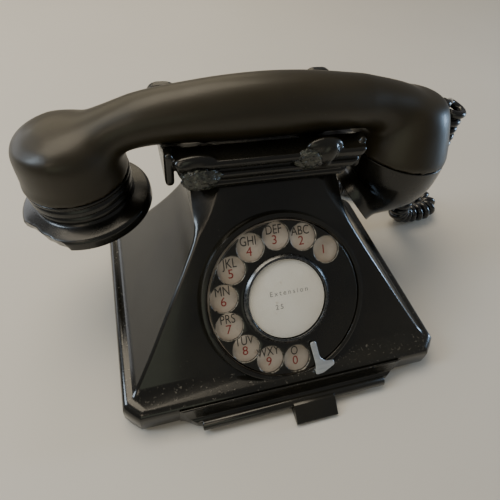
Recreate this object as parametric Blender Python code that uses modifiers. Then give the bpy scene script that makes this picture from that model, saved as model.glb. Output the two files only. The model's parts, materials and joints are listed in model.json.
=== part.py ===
"""Pyramid desk telephone with a rotary dial, a cradle, a drawer and a curly handset cord.

Metres, +Z up.  The dial faces -Y, the earpiece is at -X and the mouthpiece at +X.
The origin is on the table under the middle of the object's box.  Lengths below are
written in millimetres times MM, in the body's own frame, whose X zero is the dial's
middle plane; BODY_X and BODY_Y move the whole telephone in one step.
"""
import math

import bmesh
import bpy
from mathutils import Matrix, Vector

MM = 0.001
GAP = 0.3 * MM
BODY_X = 4.5 * MM
BODY_Y = -3.3 * MM

# Case: skirt, pyramid and neck.
WALL = 3.0 * MM
CASE_BOTTOM = 1.5 * MM
SKIRT_HALF_WIDTH = 87.3 * MM
SKIRT_FRONT = -57.0 * MM
SKIRT_BACK = 73.0 * MM
LEDGE_Z = 15.6 * MM
NECK_TOP = 86.0 * MM

# Dial: centre of the fingerplate's front face, and the front panel's lean from upright.
DIAL_Y = -24.8 * MM
DIAL_Z = 45.8 * MM
PANEL_LEAN = math.radians(43.9)
PANEL_DEPTH = 6.0 * MM
HOLE_CIRCLE_R = 32.4 * MM
HOLE_R = 6.9 * MM
FIRST_HOLE = math.radians(42.1)
HOLE_STEP = math.radians(360.0 / 14.0)
NUMBER_PLATE_TOP = -3.7 * MM

# Feet and base screws, front left, front right, rear left, rear right.
CORNER_NAMES = ("front_left", "front_right", "rear_left", "rear_right")
FEET = [(x * MM, y * MM) for y in (-42.0, 56.0) for x in (-66.0, 66.0)]
SCREWS = [(x * MM, y * MM) for y in (-44.0, 60.0) for x in (-79.0, 79.0)]

# Cradle and handset.
HANDSET_Y = 40.0 * MM
HANDLE_Z = 115.6 * MM
CHEEK_X = (-49.6 * MM, 47.0 * MM)
CHANNEL_R = 16.5 * MM
PLUNGER_X = 30.0 * MM
PLUNGER_R = 3.0 * MM

# Drawer.
TRAY_HALF_WIDTH = 47.0 * MM
TRAY_FLOOR = 3.6 * MM
TRAY_TOP = 10.6 * MM
TRAY_BACK = 52.0 * MM

# Gears: the main wheel drives the impulse pinion.
MODULE = 1.0 * MM
MAIN_TEETH = 30
PINION_TEETH = 10
GEAR_SPACING = 0.5 * MODULE * (MAIN_TEETH + PINION_TEETH) + 0.45 * MM

# Cord.
CORD_R = 2.4 * MM
COIL_R = 7.5 * MM
GLAND_X = 34.0 * MM
GLAND_Z = 7.8 * MM

for old in list(bpy.data.objects):
    bpy.data.objects.remove(old, do_unlink=True)


def new_collection(name):
    made = bpy.data.collections.new(name)
    bpy.context.scene.collection.children.link(made)
    return made


PARTS = new_collection("rotary_telephone")
CUTTERS = new_collection("cutters")


def material(name, colour, roughness, metallic=0.0, transmission=0.0):
    made = bpy.data.materials.new(name)
    made.use_nodes = True
    shader = made.node_tree.nodes["Principled BSDF"]
    shader.inputs["Base Color"].default_value = (*colour, 1.0)
    shader.inputs["Roughness"].default_value = roughness
    shader.inputs["Metallic"].default_value = metallic
    shader.inputs["Transmission Weight"].default_value = transmission
    return made


BAKELITE = material("black_bakelite", (0.018, 0.017, 0.013), 0.28)
ENAMEL = material("cream_enamel", (0.78, 0.70, 0.62), 0.35)
CARD = material("label_card", (0.84, 0.80, 0.72), 0.8)
WINDOW = material("clear_window", (0.95, 0.95, 0.93), 0.08, transmission=0.9)
CHROME = material("worn_chrome", (0.75, 0.76, 0.76), 0.22, 1.0)
STEEL = material("plated_steel", (0.42, 0.42, 0.40), 0.4, 1.0)
BRASS = material("brass", (0.66, 0.50, 0.24), 0.35, 1.0)
RUBBER = material("black_rubber", (0.03, 0.03, 0.03), 0.7)
CORD_PLASTIC = material("cord_plastic", (0.012, 0.012, 0.013), 0.25)
PHENOLIC = material("brown_phenolic", (0.16, 0.08, 0.04), 0.6)


def empty(name, location, parent=None, rotation=(0.0, 0.0, 0.0)):
    made = bpy.data.objects.new(name, None)
    PARTS.objects.link(made)
    made.location = location
    made.rotation_euler = rotation
    made.parent = parent
    return made


TELEPHONE = empty("telephone", (BODY_X, BODY_Y, 0.0))
DIAL_TILT = math.pi / 2 - PANEL_LEAN
DIAL = empty("dial_axis", (0.0, DIAL_Y, DIAL_Z), TELEPHONE, (DIAL_TILT, 0.0, 0.0))


def add(name, mesh, surface=None, parent=TELEPHONE, location=(0.0, 0.0, 0.0), rotation=(0.0, 0.0, 0.0)):
    """Link a mesh or curve as a part, or as a cutter when it has no surface."""
    made = bpy.data.objects.new(name, mesh)
    made.parent = parent
    made.location = location
    made.rotation_euler = rotation
    if surface is None:
        CUTTERS.objects.link(made)
        made.hide_render = True
        made.display_type = "WIRE"
    else:
        PARTS.objects.link(made)
        mesh.materials.append(surface)
    return made


def finish_mesh(name, bm, smooth_angle=35.0):
    bmesh.ops.recalc_face_normals(bm, faces=bm.faces)
    mesh = bpy.data.meshes.new(name)
    bm.to_mesh(mesh)
    bm.free()
    mesh.shade_smooth()
    mesh.set_sharp_from_angle(angle=math.radians(smooth_angle))
    return mesh


def box_mesh(name, low, high, bevel=0.0):
    bm = bmesh.new()
    size = [b - a for a, b in zip(low, high)]
    middle = [(a + b) / 2 for a, b in zip(low, high)]
    bmesh.ops.create_cube(bm, size=1.0)
    bmesh.ops.scale(bm, vec=size, verts=bm.verts)
    bmesh.ops.translate(bm, vec=middle, verts=bm.verts)
    if bevel > 0.0:
        bmesh.ops.bevel(bm, geom=bm.edges[:], offset=bevel, segments=2, affect="EDGES", profile=0.5)
    return finish_mesh(name, bm)


def cylinder_mesh(name, radius, low, high, segments=24, axis="Z", centre=(0.0, 0.0, 0.0), top_radius=None):
    bm = bmesh.new()
    bmesh.ops.create_cone(bm, cap_ends=True, segments=segments, radius1=radius,
                          radius2=radius if top_radius is None else top_radius, depth=high - low)
    bmesh.ops.translate(bm, vec=(0.0, 0.0, (low + high) / 2), verts=bm.verts)
    turn = {"X": Matrix.Rotation(math.pi / 2, 3, "Y"), "Y": Matrix.Rotation(-math.pi / 2, 3, "X")}
    if axis in turn:
        bmesh.ops.rotate(bm, cent=(0.0, 0.0, 0.0), matrix=turn[axis], verts=bm.verts)
    bmesh.ops.translate(bm, vec=centre, verts=bm.verts)
    return finish_mesh(name, bm)


def turned(name, profile, surface, parent, steps=36, location=(0.0, 0.0, 0.0), rotation=(0.0, 0.0, 0.0)):
    """A profile of (radius, height) down its outer side, turned about its own Z.

    A profile that starts and ends on the axis stays open there; any other is closed.
    """
    mesh = bpy.data.meshes.new(name)
    count = len(profile)
    edges = [(i, i + 1) for i in range(count - 1)]
    if profile[0][0] > 0.0 or profile[-1][0] > 0.0:
        edges.append((count - 1, 0))
    mesh.from_pydata([(r, 0.0, z) for r, z in profile], edges, [])
    made = add(name, mesh, surface, parent, location, rotation)
    screw = made.modifiers.new("turn", "SCREW")
    screw.axis = "Z"
    screw.steps = steps
    screw.render_steps = steps
    screw.use_merge_vertices = True
    screw.merge_threshold = 0.00001
    screw.use_smooth_shade = True
    return made


def loft(name, rings, smooth_angle=35.0):
    """A closed skin over rings of equal length, with a cap on the first and the last."""
    bm = bmesh.new()
    rows = [[bm.verts.new(p) for p in ring] for ring in rings]
    count = len(rows[0])
    for low, high in zip(rows, rows[1:]):
        for i in range(count):
            j = (i + 1) % count
            bm.faces.new((low[i], low[j], high[j], high[i]))
    bm.faces.new(rows[0])
    bm.faces.new(rows[-1])
    return finish_mesh(name, bm, smooth_angle)


def boolean(target, tool, operation):
    """Cut, join or trim with a tool, which is kept as a hidden cutter."""
    change = target.modifiers.new(tool.name, "BOOLEAN")
    change.operation = operation
    change.object = tool
    change.solver = "EXACT"


def cut(target, mesh, parent=TELEPHONE, location=(0.0, 0.0, 0.0), rotation=(0.0, 0.0, 0.0)):
    boolean(target, add(mesh.name, mesh, None, parent, location, rotation), "DIFFERENCE")


def join(target, mesh, parent=TELEPHONE, location=(0.0, 0.0, 0.0), rotation=(0.0, 0.0, 0.0)):
    boolean(target, add(mesh.name, mesh, None, parent, location, rotation), "UNION")


def extruded(name, outline, thickness, surface, parent=TELEPHONE, location=(0.0, 0.0, 0.0),
             rotation=(0.0, 0.0, 0.0), holes=()):
    """A flat plate from a closed outline, centred on its own XY plane."""
    curve = bpy.data.curves.new(name, "CURVE")
    curve.dimensions = "2D"
    curve.fill_mode = "BOTH"
    curve.extrude = thickness / 2
    for points in (outline, *holes):
        spline = curve.splines.new("POLY")
        spline.points.add(len(points) - 1)
        for point, (x, y) in zip(spline.points, points):
            point.co = (x, y, 0.0, 1.0)
        spline.use_cyclic_u = True
    curve_object = bpy.data.objects.new(name + "_curve", curve)
    CUTTERS.objects.link(curve_object)
    bpy.context.view_layer.update()
    flat = curve_object.evaluated_get(bpy.context.evaluated_depsgraph_get())
    mesh = bpy.data.meshes.new_from_object(flat)
    bpy.data.objects.remove(curve_object, do_unlink=True)
    bm = bmesh.new()
    bm.from_mesh(mesh)
    bmesh.ops.remove_doubles(bm, verts=bm.verts, dist=0.000001)
    bpy.data.meshes.remove(mesh)
    return add(name, finish_mesh(name, bm), surface, parent, location, rotation)


def arc(centre, radius, start, end, count):
    """Points of an arc, angles in degrees."""
    turn = [math.radians(start + (end - start) * i / (count - 1)) for i in range(count)]
    return [(centre[0] + radius * math.cos(a), centre[1] + radius * math.sin(a)) for a in turn]


# ---------------------------------------------------------------- case

def panel_y(z):
    """Where the leaning front panel is at a height."""
    foot_y = DIAL_Y + PANEL_DEPTH * math.cos(PANEL_LEAN)
    foot_z = DIAL_Z - PANEL_DEPTH * math.sin(PANEL_LEAN)
    return foot_y + (z - foot_z) * math.tan(PANEL_LEAN)


def case_ring(z, front, back, half_front, half_side, front_cut, back_cut, inset=0.0, steps=4):
    """One level of the case: four corners, each a curve from the front or back to the side."""
    half_front = half_front - inset
    half_side = half_side - inset
    front = front + inset
    back = back - inset
    quarter = [
        ((-half_front, front), (-half_side, front + front_cut)),
        ((-half_side, back - back_cut), (-half_side + back_cut, back)),
    ]
    points = []
    for k, (start, end) in enumerate(quarter):
        flat = half_side - half_front > 5.0 * MM and k == 0
        corner = (-half_side, front) if k == 0 else (-half_side, back)
        middle = ((start[0] + end[0]) / 2, (start[1] + end[1]) / 2)
        pull = 0.12 if flat else 0.8
        knee = [m + (c - m) * pull for m, c in zip(middle, corner)]
        for i in range(steps + 1):
            t = i / steps
            x = (1 - t) ** 2 * start[0] + 2 * t * (1 - t) * knee[0] + t ** 2 * end[0]
            y = (1 - t) ** 2 * start[1] + 2 * t * (1 - t) * knee[1] + t ** 2 * end[1]
            points.append((x, y, z))
    other = [(-x, y, zz) for x, y, zz in reversed(points)]
    return points + other


# Height, half-width at the front and at the side, back, front corner and back corner cuts.
PYRAMID = (
    (17.6, 77.6, 79.6, 68.4, 2.2, 3.0),
    (28.0, 69.0, 71.0, 62.6, 2.2, 3.0),
    (44.0, 56.6, 58.6, 55.6, 2.2, 3.0),
    (57.0, 46.6, 48.6, 51.4, 2.2, 3.0),
    (68.0, 38.2, 41.2, 49.6, 3.0, 3.4),
    (77.0, 30.6, 40.0, 49.0, 7.6, 5.4),
    (86.0, 24.6, 39.6, 49.0, 11.0, 7.6),
)


def case_levels(inset=0.0, top=NECK_TOP):
    rings = []
    for z, half_front, half_side, back, front_cut, back_cut in PYRAMID:
        height = min(z * MM, top)
        rings.append(case_ring(height, panel_y(height), back * MM, half_front * MM, half_side * MM,
                               front_cut * MM, back_cut * MM, inset))
    return rings


def skirt_ring(z, inset, corner=7.5 * MM):
    return case_ring(z, SKIRT_FRONT, SKIRT_BACK, SKIRT_HALF_WIDTH - corner, SKIRT_HALF_WIDTH,
                     corner, corner, inset)


def body_case():
    skirt = [
        skirt_ring(CASE_BOTTOM, 0.6 * MM),
        skirt_ring(CASE_BOTTOM + 0.8 * MM, 0.0),
        skirt_ring(12.4 * MM, 0.2 * MM),
        skirt_ring(14.8 * MM, 1.4 * MM),
        skirt_ring(LEDGE_Z, 3.8 * MM),
    ]
    foot = case_ring(15.9 * MM, panel_y(LEDGE_Z) - 1.6 * MM, 70.4 * MM, 79.6 * MM, 81.6 * MM,
                     3.0 * MM, 4.0 * MM)
    outer = loft("body_case", skirt + [foot] + case_levels())
    case = add("body_case", outer, BAKELITE)
    hollow_floor = [
        skirt_ring(-2.0 * MM, WALL),
        skirt_ring(12.4 * MM, WALL),
    ]
    hollow = loft("case_hollow", hollow_floor + case_levels(3.6 * MM, NECK_TOP - WALL))
    join(case, dial_collar_mesh(), DIAL)
    cut(case, hollow)
    for x, y in SCREWS:
        join(case, cylinder_mesh("screw_boss", 5.6 * MM, 3.3 * MM, 14.0 * MM, 16, "Z", (x, y, 0.0)))
        cut(case, cylinder_mesh("boss_bore", 1.7 * MM, 0.0, 10.5 * MM, 12, "Z", (x, y, 0.0)))
    recess = cylinder_mesh("dial_recess", 40.7 * MM, -5.3 * MM, 6.0 * MM, 48)
    cut(case, recess, DIAL)
    opening = cylinder_mesh("dial_opening", 36.5 * MM, -30.0 * MM, -2.0 * MM, 48)
    cut(case, opening, DIAL)
    half = TRAY_HALF_WIDTH + 1.0 * MM
    cut(case, box_mesh("drawer_slot", (-half, SKIRT_FRONT - 5.0 * MM, -1.0 * MM),
                       (half, SKIRT_FRONT + 8.0 * MM, TRAY_TOP + 0.8 * MM)))
    for side in (-1, 1):
        centre = (side * GLAND_X, SKIRT_BACK, GLAND_Z)
        cut(case, cylinder_mesh("gland_hole", 3.9 * MM, -6.0 * MM, 6.0 * MM, 20, "Y", centre))
        top = (side * PLUNGER_X, HANDSET_Y, 0.0)
        cut(case, cylinder_mesh("plunger_hole", PLUNGER_R + 0.6 * MM, 70.0 * MM, 90.0 * MM, 16, "Z", top))
    return case


def dial_collar_mesh():
    """The raised ring round the dial, moulded in one with the case."""
    bm = bmesh.new()
    bmesh.ops.create_cone(bm, cap_ends=True, segments=48, radius1=45.6 * MM, radius2=43.4 * MM,
                          depth=8.0 * MM)
    bmesh.ops.translate(bm, vec=(0.0, 0.0, -4.7 * MM), verts=bm.verts)
    return finish_mesh("dial_collar", bm)


def base_plate():
    """The steel bottom plate, inside the case wall, with a bore for each screw."""
    levels = [skirt_ring(z * MM, WALL + 0.8 * MM) for z in (1.8, 3.0)]
    made = add("base_plate", loft("base_plate", levels), STEEL)
    for x, y in SCREWS:
        cut(made, cylinder_mesh("plate_bore", 1.9 * MM, 0.0, 5.0 * MM, 12, "Z", (x, y, 0.0)))
    return made


def feet_and_screws():
    """Rubber feet under the base plate, each beside a screw that goes up into a boss of the case."""
    foot = [(0.0, 1.5), (8.0, 1.5), (7.6, 0.3), (7.0, 0.0), (0.0, 0.0)]
    screw = [(0.0, 9.0), (1.4, 9.0), (1.4, 1.5), (3.0, 1.5), (2.6, 0.7), (0.0, 0.7)]
    for name, (x, y), (fx, fy) in zip(CORNER_NAMES, SCREWS, FEET):
        turned("foot_" + name, [(r * MM, z * MM) for r, z in foot], RUBBER, TELEPHONE, 20, (fx, fy, 0.0))
        turned("base_screw_" + name, [(r * MM, z * MM) for r, z in screw], STEEL, TELEPHONE, 12, (x, y, 0.0))


# ---------------------------------------------------------------- dial

def number_plate():
    r_out = 40.2 * MM
    top = NUMBER_PLATE_TOP
    profile = [(7.0 * MM, top), (r_out, top), (r_out, top - 1.0 * MM), (7.0 * MM, top - 1.0 * MM)]
    return turned("number_plate", profile, ENAMEL, DIAL, 48)


def finger_plate():
    """The black plate with ten holes, a rolled rim and a raised middle."""
    profile = [(3.6, -0.1), (23.0, -0.1), (24.0, -0.3), (38.2, -0.3), (39.4, -0.1), (39.8, -0.9),
               (39.2, -1.7), (3.6, -1.5)]
    made = turned("finger_plate", [(r * MM, z * MM) for r, z in profile], BAKELITE, DIAL, 48)
    for k in range(10):
        turn = FIRST_HOLE + k * HOLE_STEP
        centre = (HOLE_CIRCLE_R * math.cos(turn), HOLE_CIRCLE_R * math.sin(turn), 0.0)
        hole = cylinder_mesh("finger_hole", HOLE_R, -3.0 * MM, 3.0 * MM, 18, "Z", centre)
        cut(made, hole, DIAL)
    return made


def label_pieces():
    """A card under a clear window, held by a turned ring at the middle of the dial."""
    ring = [(20.6, 2.2), (21.6, 2.2), (22.9, 0.9), (22.9, 0.2), (20.6, 0.2)]
    turned("label_ring", [(r * MM, z * MM) for r, z in ring], CHROME, DIAL, 40)
    card = [(0.0, 0.7), (20.2, 0.7), (20.2, 0.3), (0.0, 0.3)]
    turned("label_card", [(r * MM, z * MM) for r, z in card], CARD, DIAL, 40)
    window = [(0.0, 1.55), (19.9, 1.45), (19.9, 1.0), (0.0, 1.0)]
    turned("label_window", [(r * MM, z * MM) for r, z in window], WINDOW, DIAL, 40)


def finger_stop():
    """A plated strip that reaches over the fingerplate from a foot on the collar."""
    blade = [(9.2, -25.0), (12.4, -24.6), (13.8, -33.6), (16.6, -36.4), (21.4, -36.6), (21.8, -39.2),
             (18.6, -40.6), (15.4, -42.4), (10.6, -42.8), (11.2, -37.4)]
    made = extruded("finger_stop", [(x * MM, y * MM) for x, y in blade], 1.0 * MM, CHROME, DIAL,
                    (0.0, 0.0, 1.2 * MM))
    leg = box_mesh("stop_leg", (-2.4 * MM, -0.8 * MM, -0.4 * MM), (2.4 * MM, 0.8 * MM, 1.5 * MM))
    turn = math.radians(-72.0)
    seat = (42.2 * MM * math.cos(turn), 42.2 * MM * math.sin(turn), 0.0)
    join(made, leg, DIAL, seat, (0.0, 0.0, turn + math.pi / 2))
    return made


def gear_outline(teeth, depth_in, depth_out, fill=0.42):
    """A toothed outline with straight flanks, slimmer than half the pitch to leave backlash."""
    pitch_r = 0.5 * MODULE * teeth
    points = []
    step = 2 * math.pi / teeth
    for k in range(teeth):
        middle = k * step
        for offset, r in ((-0.30, pitch_r - depth_in), (-0.5 * fill * 0.62, pitch_r + depth_out),
                          (0.5 * fill * 0.62, pitch_r + depth_out), (0.30, pitch_r - depth_in)):
            points.append((r * math.cos(middle + offset * step), r * math.sin(middle + offset * step)))
    return points


def circle(radius, count, centre=(0.0, 0.0)):
    return arc(centre, radius, 0.0, 360.0 * (count - 1) / count, count)


GEAR_Z = -13.0 * MM
PINION_TURN = math.radians(120.0)
PINION_AT = (GEAR_SPACING * math.cos(PINION_TURN), GEAR_SPACING * math.sin(PINION_TURN))


def dial_mechanism():
    """Frame, main spindle and wheel, impulse pinion with its cam, and the governor."""
    plate = [(3.4, -7.0), (5.6, -7.0), (5.6, -8.4), (33.0, -8.4), (33.0, -9.8), (5.6, -9.8), (5.6, -11.0),
             (3.4, -11.0)]
    frame = turned("dial_frame", [(r * MM, z * MM) for r, z in plate], STEEL, DIAL, 28)
    for k in range(3):
        turn = math.radians(30.0 + 120.0 * k)
        centre = (27.0 * MM * math.cos(turn), 27.0 * MM * math.sin(turn), 0.0)
        join(frame, cylinder_mesh("frame_pillar", 2.4 * MM, -9.0 * MM, -5.1 * MM, 10, "Z", centre), DIAL)
        join(frame, cylinder_mesh("rear_pillar", 1.6 * MM, -24.0 * MM, -9.0 * MM, 8, "Z", centre), DIAL)
    pinion_bore = cylinder_mesh("pinion_bore", 1.5 * MM, -14.0 * MM, -7.0 * MM, 14, "Z", (*PINION_AT, 0.0))
    cut(frame, pinion_bore, DIAL)
    shaft = [(0.0, -1.8), (5.2, -1.8), (5.2, -3.4), (3.0, -3.6), (3.0, -20.0), (0.0, -20.0)]
    turned("dial_spindle", [(r * MM, z * MM) for r, z in shaft], STEEL, DIAL, 20)
    extruded("main_wheel", gear_outline(MAIN_TEETH, 1.0 * MM, 0.6 * MM), 1.6 * MM, BRASS, DIAL,
             (0.0, 0.0, GEAR_Z), holes=(circle(3.3 * MM, 16),))
    spring = [(9.0, -15.0), (13.5, -15.0), (13.5, -19.0), (9.0, -19.0)]
    turned("spring_barrel", [(r * MM, z * MM) for r, z in spring], STEEL, DIAL, 28)
    pinion = extruded("impulse_pinion", gear_outline(PINION_TEETH, 1.0 * MM, 0.6 * MM), 2.2 * MM, BRASS,
                      DIAL, (*PINION_AT, GEAR_Z), (0.0, 0.0, PINION_TURN + math.pi + math.pi / PINION_TEETH))
    arbor = cylinder_mesh("pinion_arbor", 1.2 * MM, -22.0 * MM, -8.0 * MM, 12, "Z", (*PINION_AT, 0.0))
    join(pinion, arbor, DIAL)
    cam = cylinder_mesh("cam_disc", 4.6 * MM, -18.4 * MM, -17.2 * MM, 20, "Z", (*PINION_AT, 0.0))
    join(pinion, cam, DIAL)
    governor()
    springs = box_mesh("impulse_springs", (-3.0 * MM, -2.2 * MM, -22.0 * MM),
                       (3.0 * MM, 2.2 * MM, -10.1 * MM))
    stack = add("impulse_springs", springs, BRASS, DIAL, (-20.0 * MM, -4.0 * MM, 0.0))
    for k in range(3):
        low = (-0.25 * MM - 2.0 * MM + 2.0 * MM * k, 2.0 * MM, -21.0 * MM)
        high = (0.25 * MM - 2.0 * MM + 2.0 * MM * k, 13.0 * MM, -17.5 * MM)
        join(stack, box_mesh("contact_leaf", low, high), DIAL, (-20.0 * MM, -4.0 * MM, 0.0))


GOVERNOR_AT = (PINION_AT[0] + 8.6 * MM, PINION_AT[1], -20.4 * MM)


def governor():
    """A worm spindle across the pinion's arbor, with a bar of two fly weights in a cup."""
    x, y, z = GOVERNOR_AT
    spindle = cylinder_mesh("governor_spindle", 1.0 * MM, -10.0 * MM, 12.0 * MM, 10, "Y", (x, y, z))
    made = add("governor_spindle", spindle, STEEL, DIAL)
    for k in range(4):
        low = (-3.2 + 1.6 * k) * MM
        thread = cylinder_mesh("worm_thread", 1.9 * MM, low, low + 0.8 * MM, 10, "Y", (x, y, z))
        join(made, thread, DIAL)
    join(made, cylinder_mesh("fly_hub", 2.2 * MM, 5.6 * MM, 9.0 * MM, 10, "Y", (x, y, z)), DIAL)
    low = (x - 5.6 * MM, y + 6.2 * MM, z - 1.3 * MM)
    high = (x + 5.6 * MM, y + 8.4 * MM, z + 1.3 * MM)
    join(made, box_mesh("fly_weights", low, high), DIAL)
    cup = [(7.6, 0.0), (7.6, -4.4), (6.6, -4.4), (6.6, -1.0), (1.5, -1.0), (1.5, 0.0)]
    turned("governor_cup", [(r * MM, h * MM) for r, h in cup], BRASS, DIAL, 24,
           (x, y + 10.4 * MM, z), (-math.pi / 2, 0.0, 0.0))


# ---------------------------------------------------------------- cradle and switch

def rounded_ring(z, half_x, front, back, radius, steps=3):
    """A rounded rectangle in a horizontal plane."""
    points = []
    corners = ((half_x, back, 0.0), (-half_x, back, 90.0), (-half_x, front, 180.0), (half_x, front, 270.0))
    for cx, cy, start in corners:
        centre = (cx - math.copysign(radius, cx), cy - (radius if cy == back else -radius))
        points += [(x, y, z) for x, y in arc(centre, radius, start, start + 90.0, steps + 1)]
    return points


def lump(name, centre, size, seed):
    """A rough broken end: a coarse ball whose points are pushed by a fixed rule."""
    bm = bmesh.new()
    bmesh.ops.create_icosphere(bm, subdivisions=2, radius=1.0)
    for v in bm.verts:
        wave = math.sin(7.3 * v.co.x + seed) * math.cos(5.9 * v.co.z + 2.1 * seed + 4.0 * v.co.y)
        stretched = Vector(c * s for c, s in zip(v.co, size))
        v.co = stretched * (1.0 + 0.12 * wave) + Vector(centre)
    return finish_mesh(name, bm, 20.0)


# Rear horns: x of the middle, and height of the straight part above the saddle's side.
HORNS = ((-46.6 * MM, 15.6 * MM), (34.4 * MM, 19.4 * MM))
HORN_Y = 59.0 * MM
HORN_FOOT = 97.0 * MM
HORN_LEAN = math.radians(84.0)


def horn_outline(height):
    """An upright tab that narrows a little to a round top."""
    right = arc((2.2 * MM, height), 5.4 * MM, 10.0, 90.0, 5)
    left = arc((-2.2 * MM, height), 5.4 * MM, 90.0, 170.0, 5)
    return [(-9.0 * MM, 0.0), (9.0 * MM, 0.0)] + right + left


def cradle():
    """The rest on the neck: a saddle with end cheeks, two rear horns and two broken front stubs."""
    low = NECK_TOP + GAP
    rings = [
        rounded_ring(low, 40.6 * MM, 18.6 * MM, 55.0 * MM, 5.0 * MM),
        rounded_ring(low + 3.0 * MM, 41.8 * MM, 17.6 * MM, 57.0 * MM, 5.0 * MM),
        rounded_ring(low + 6.0 * MM, 45.0 * MM, 16.8 * MM, 60.0 * MM, 4.0 * MM),
        rounded_ring(101.6 * MM, 48.0 * MM, 16.2 * MM, 61.4 * MM, 3.0 * MM),
        rounded_ring(102.8 * MM, 47.0 * MM, 17.4 * MM, 60.4 * MM, 2.2 * MM),
    ]
    made = add("cradle", loft("cradle", rings), BAKELITE)
    for x in CHEEK_X:
        cheek = box_mesh("end_cheek", (-2.2 * MM, -17.0 * MM, -9.0 * MM), (2.2 * MM, 17.0 * MM, 9.0 * MM),
                         2.0 * MM)
        join(made, cheek, TELEPHONE, (x, 38.0 * MM, 96.2 * MM))
    for x, height in HORNS:
        horn = extruded("rear_horn", horn_outline(height), 5.4 * MM, None, TELEPHONE,
                        (x, HORN_Y, HORN_FOOT), (HORN_LEAN, 0.0, 0.0))
        boolean(made, horn, "UNION")
    join(made, lump("left_stub", (-36.0 * MM, 16.4 * MM, 94.0 * MM), (9.8 * MM, 4.4 * MM, 6.2 * MM), 1.0))
    join(made, lump("right_stub", (20.0 * MM, 17.6 * MM, 99.4 * MM), (11.0 * MM, 4.0 * MM, 6.0 * MM), 2.4))
    channel_at = (0.0, HANDSET_Y, HANDLE_Z + 0.2 * MM)
    cut(made, cylinder_mesh("handle_channel", CHANNEL_R, -80.0 * MM, 80.0 * MM, 40, "X", channel_at))
    cut(made, box_mesh("channel_way", (-80.0 * MM, HANDSET_Y - CHANNEL_R + 0.2 * MM, 106.0 * MM),
                       (80.0 * MM, HANDSET_Y + 15.4 * MM, 140.0 * MM)))
    for side in (-1, 1):
        bore = cylinder_mesh("plunger_bore", PLUNGER_R + 0.4 * MM, 80.0 * MM, 110.0 * MM, 16, "Z",
                             (side * PLUNGER_X, HANDSET_Y, 0.0))
        cut(made, bore)
    return made


PIN_Y = 28.6 * MM
PIN_Z = 72.6 * MM


def hook_switch():
    """Two plungers in the cradle press a lever on a pin, and the lever works a stack of springs."""
    for name, side in (("left", -1), ("right", 1)):
        profile = [(0.0, 99.2), (2.2, 99.2), (3.0, 98.2), (3.0, 76.4), (4.2, 76.2), (4.2, 75.0), (0.0, 75.0)]
        turned("plunger_" + name, [(r * MM, z * MM) for r, z in profile], BAKELITE, TELEPHONE, 16,
               (side * PLUNGER_X, HANDSET_Y, 0.0))
    pivot = empty("switch_pivot", (0.0, PIN_Y, PIN_Z), TELEPHONE)
    hub = cylinder_mesh("hook_lever", 2.6 * MM, -18.0 * MM, 18.0 * MM, 16, "X")
    lever = add("hook_lever", hub, STEEL, pivot)
    arm = box_mesh("lever_arm", (-16.0 * MM, 0.9 * MM, -0.4 * MM), (16.0 * MM, 8.0 * MM, 1.4 * MM))
    join(lever, arm, pivot)
    plate = box_mesh("lever_plate", (-33.0 * MM, 5.4 * MM, -0.2 * MM), (33.0 * MM, 13.4 * MM, 1.2 * MM))
    join(lever, plate, pivot)
    cut(lever, cylinder_mesh("lever_bore", 1.5 * MM, -40.0 * MM, 40.0 * MM, 12, "X"), pivot)
    add("switch_pin", cylinder_mesh("switch_pin", 1.2 * MM, -22.0 * MM, 22.0 * MM, 12, "X"), STEEL, pivot)
    low = (-26.0 * MM, PIN_Y - 4.4 * MM, 54.0 * MM)
    high = (26.0 * MM, PIN_Y - 3.2 * MM, 80.0 * MM)
    bracket = add("switch_bracket", box_mesh("switch_bracket", low, high), STEEL)
    for side in (-1, 1):
        ear = box_mesh("bracket_ear", (side * 20.0 * MM - 1.0 * MM, PIN_Y - 3.8 * MM, 68.0 * MM),
                       (side * 20.0 * MM + 1.0 * MM, PIN_Y + 3.6 * MM, 77.0 * MM))
        join(bracket, ear)
        cut(bracket, cylinder_mesh("ear_bore", 1.5 * MM, -4.0 * MM, 4.0 * MM, 12, "X",
                                   (side * 20.0 * MM, PIN_Y, PIN_Z)))
    join(bracket, box_mesh("bracket_foot", (-12.0 * MM, PIN_Y - 4.4 * MM, 53.0 * MM),
                           (12.0 * MM, 41.0 * MM, 54.6 * MM)))
    block = add("switch_springs", box_mesh("switch_springs", (-8.0 * MM, 30.0 * MM, 54.9 * MM),
                                           (8.0 * MM, 41.0 * MM, 60.0 * MM), 0.5 * MM), PHENOLIC)
    for k in range(3):
        y = (32.4 + 3.4 * k) * MM
        join(block, box_mesh("switch_leaf", (-3.0 * MM, y, 57.0 * MM), (3.0 * MM, y + 0.6 * MM, 68.0 * MM)))


# ---------------------------------------------------------------- inside the case

def inner_parts():
    """Transmission parts that stand on the base plate behind the drawer's tray."""
    core = [(0.0, 17.0), (9.0, 17.0), (9.0, 14.6), (7.4, 14.6), (7.4, -14.6), (9.0, -14.6), (9.0, -17.0),
            (0.0, -17.0)]
    turned("induction_coil", [(r * MM, h * MM) for r, h in core], BRASS, TELEPHONE, 24,
           (-62.0 * MM, 30.0 * MM, 13.2 * MM), (math.pi / 2, 0.0, 0.0))
    can = box_mesh("capacitor", (54.0 * MM, 12.0 * MM, 3.4 * MM), (70.0 * MM, 46.0 * MM, 22.0 * MM), 0.8 * MM)
    add("capacitor", can, STEEL)
    strip = add("terminal_strip", box_mesh("terminal_strip", (-30.0 * MM, 55.0 * MM, 3.4 * MM),
                                           (30.0 * MM, 63.0 * MM, 9.0 * MM), 0.5 * MM), PHENOLIC)
    for k in range(6):
        x = (-25.0 + 10.0 * k) * MM
        post_at = (x, 59.0 * MM, 0.0)
        join(strip, cylinder_mesh("terminal_post", 1.6 * MM, 8.0 * MM, 12.0 * MM, 10, "Z", post_at))


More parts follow.
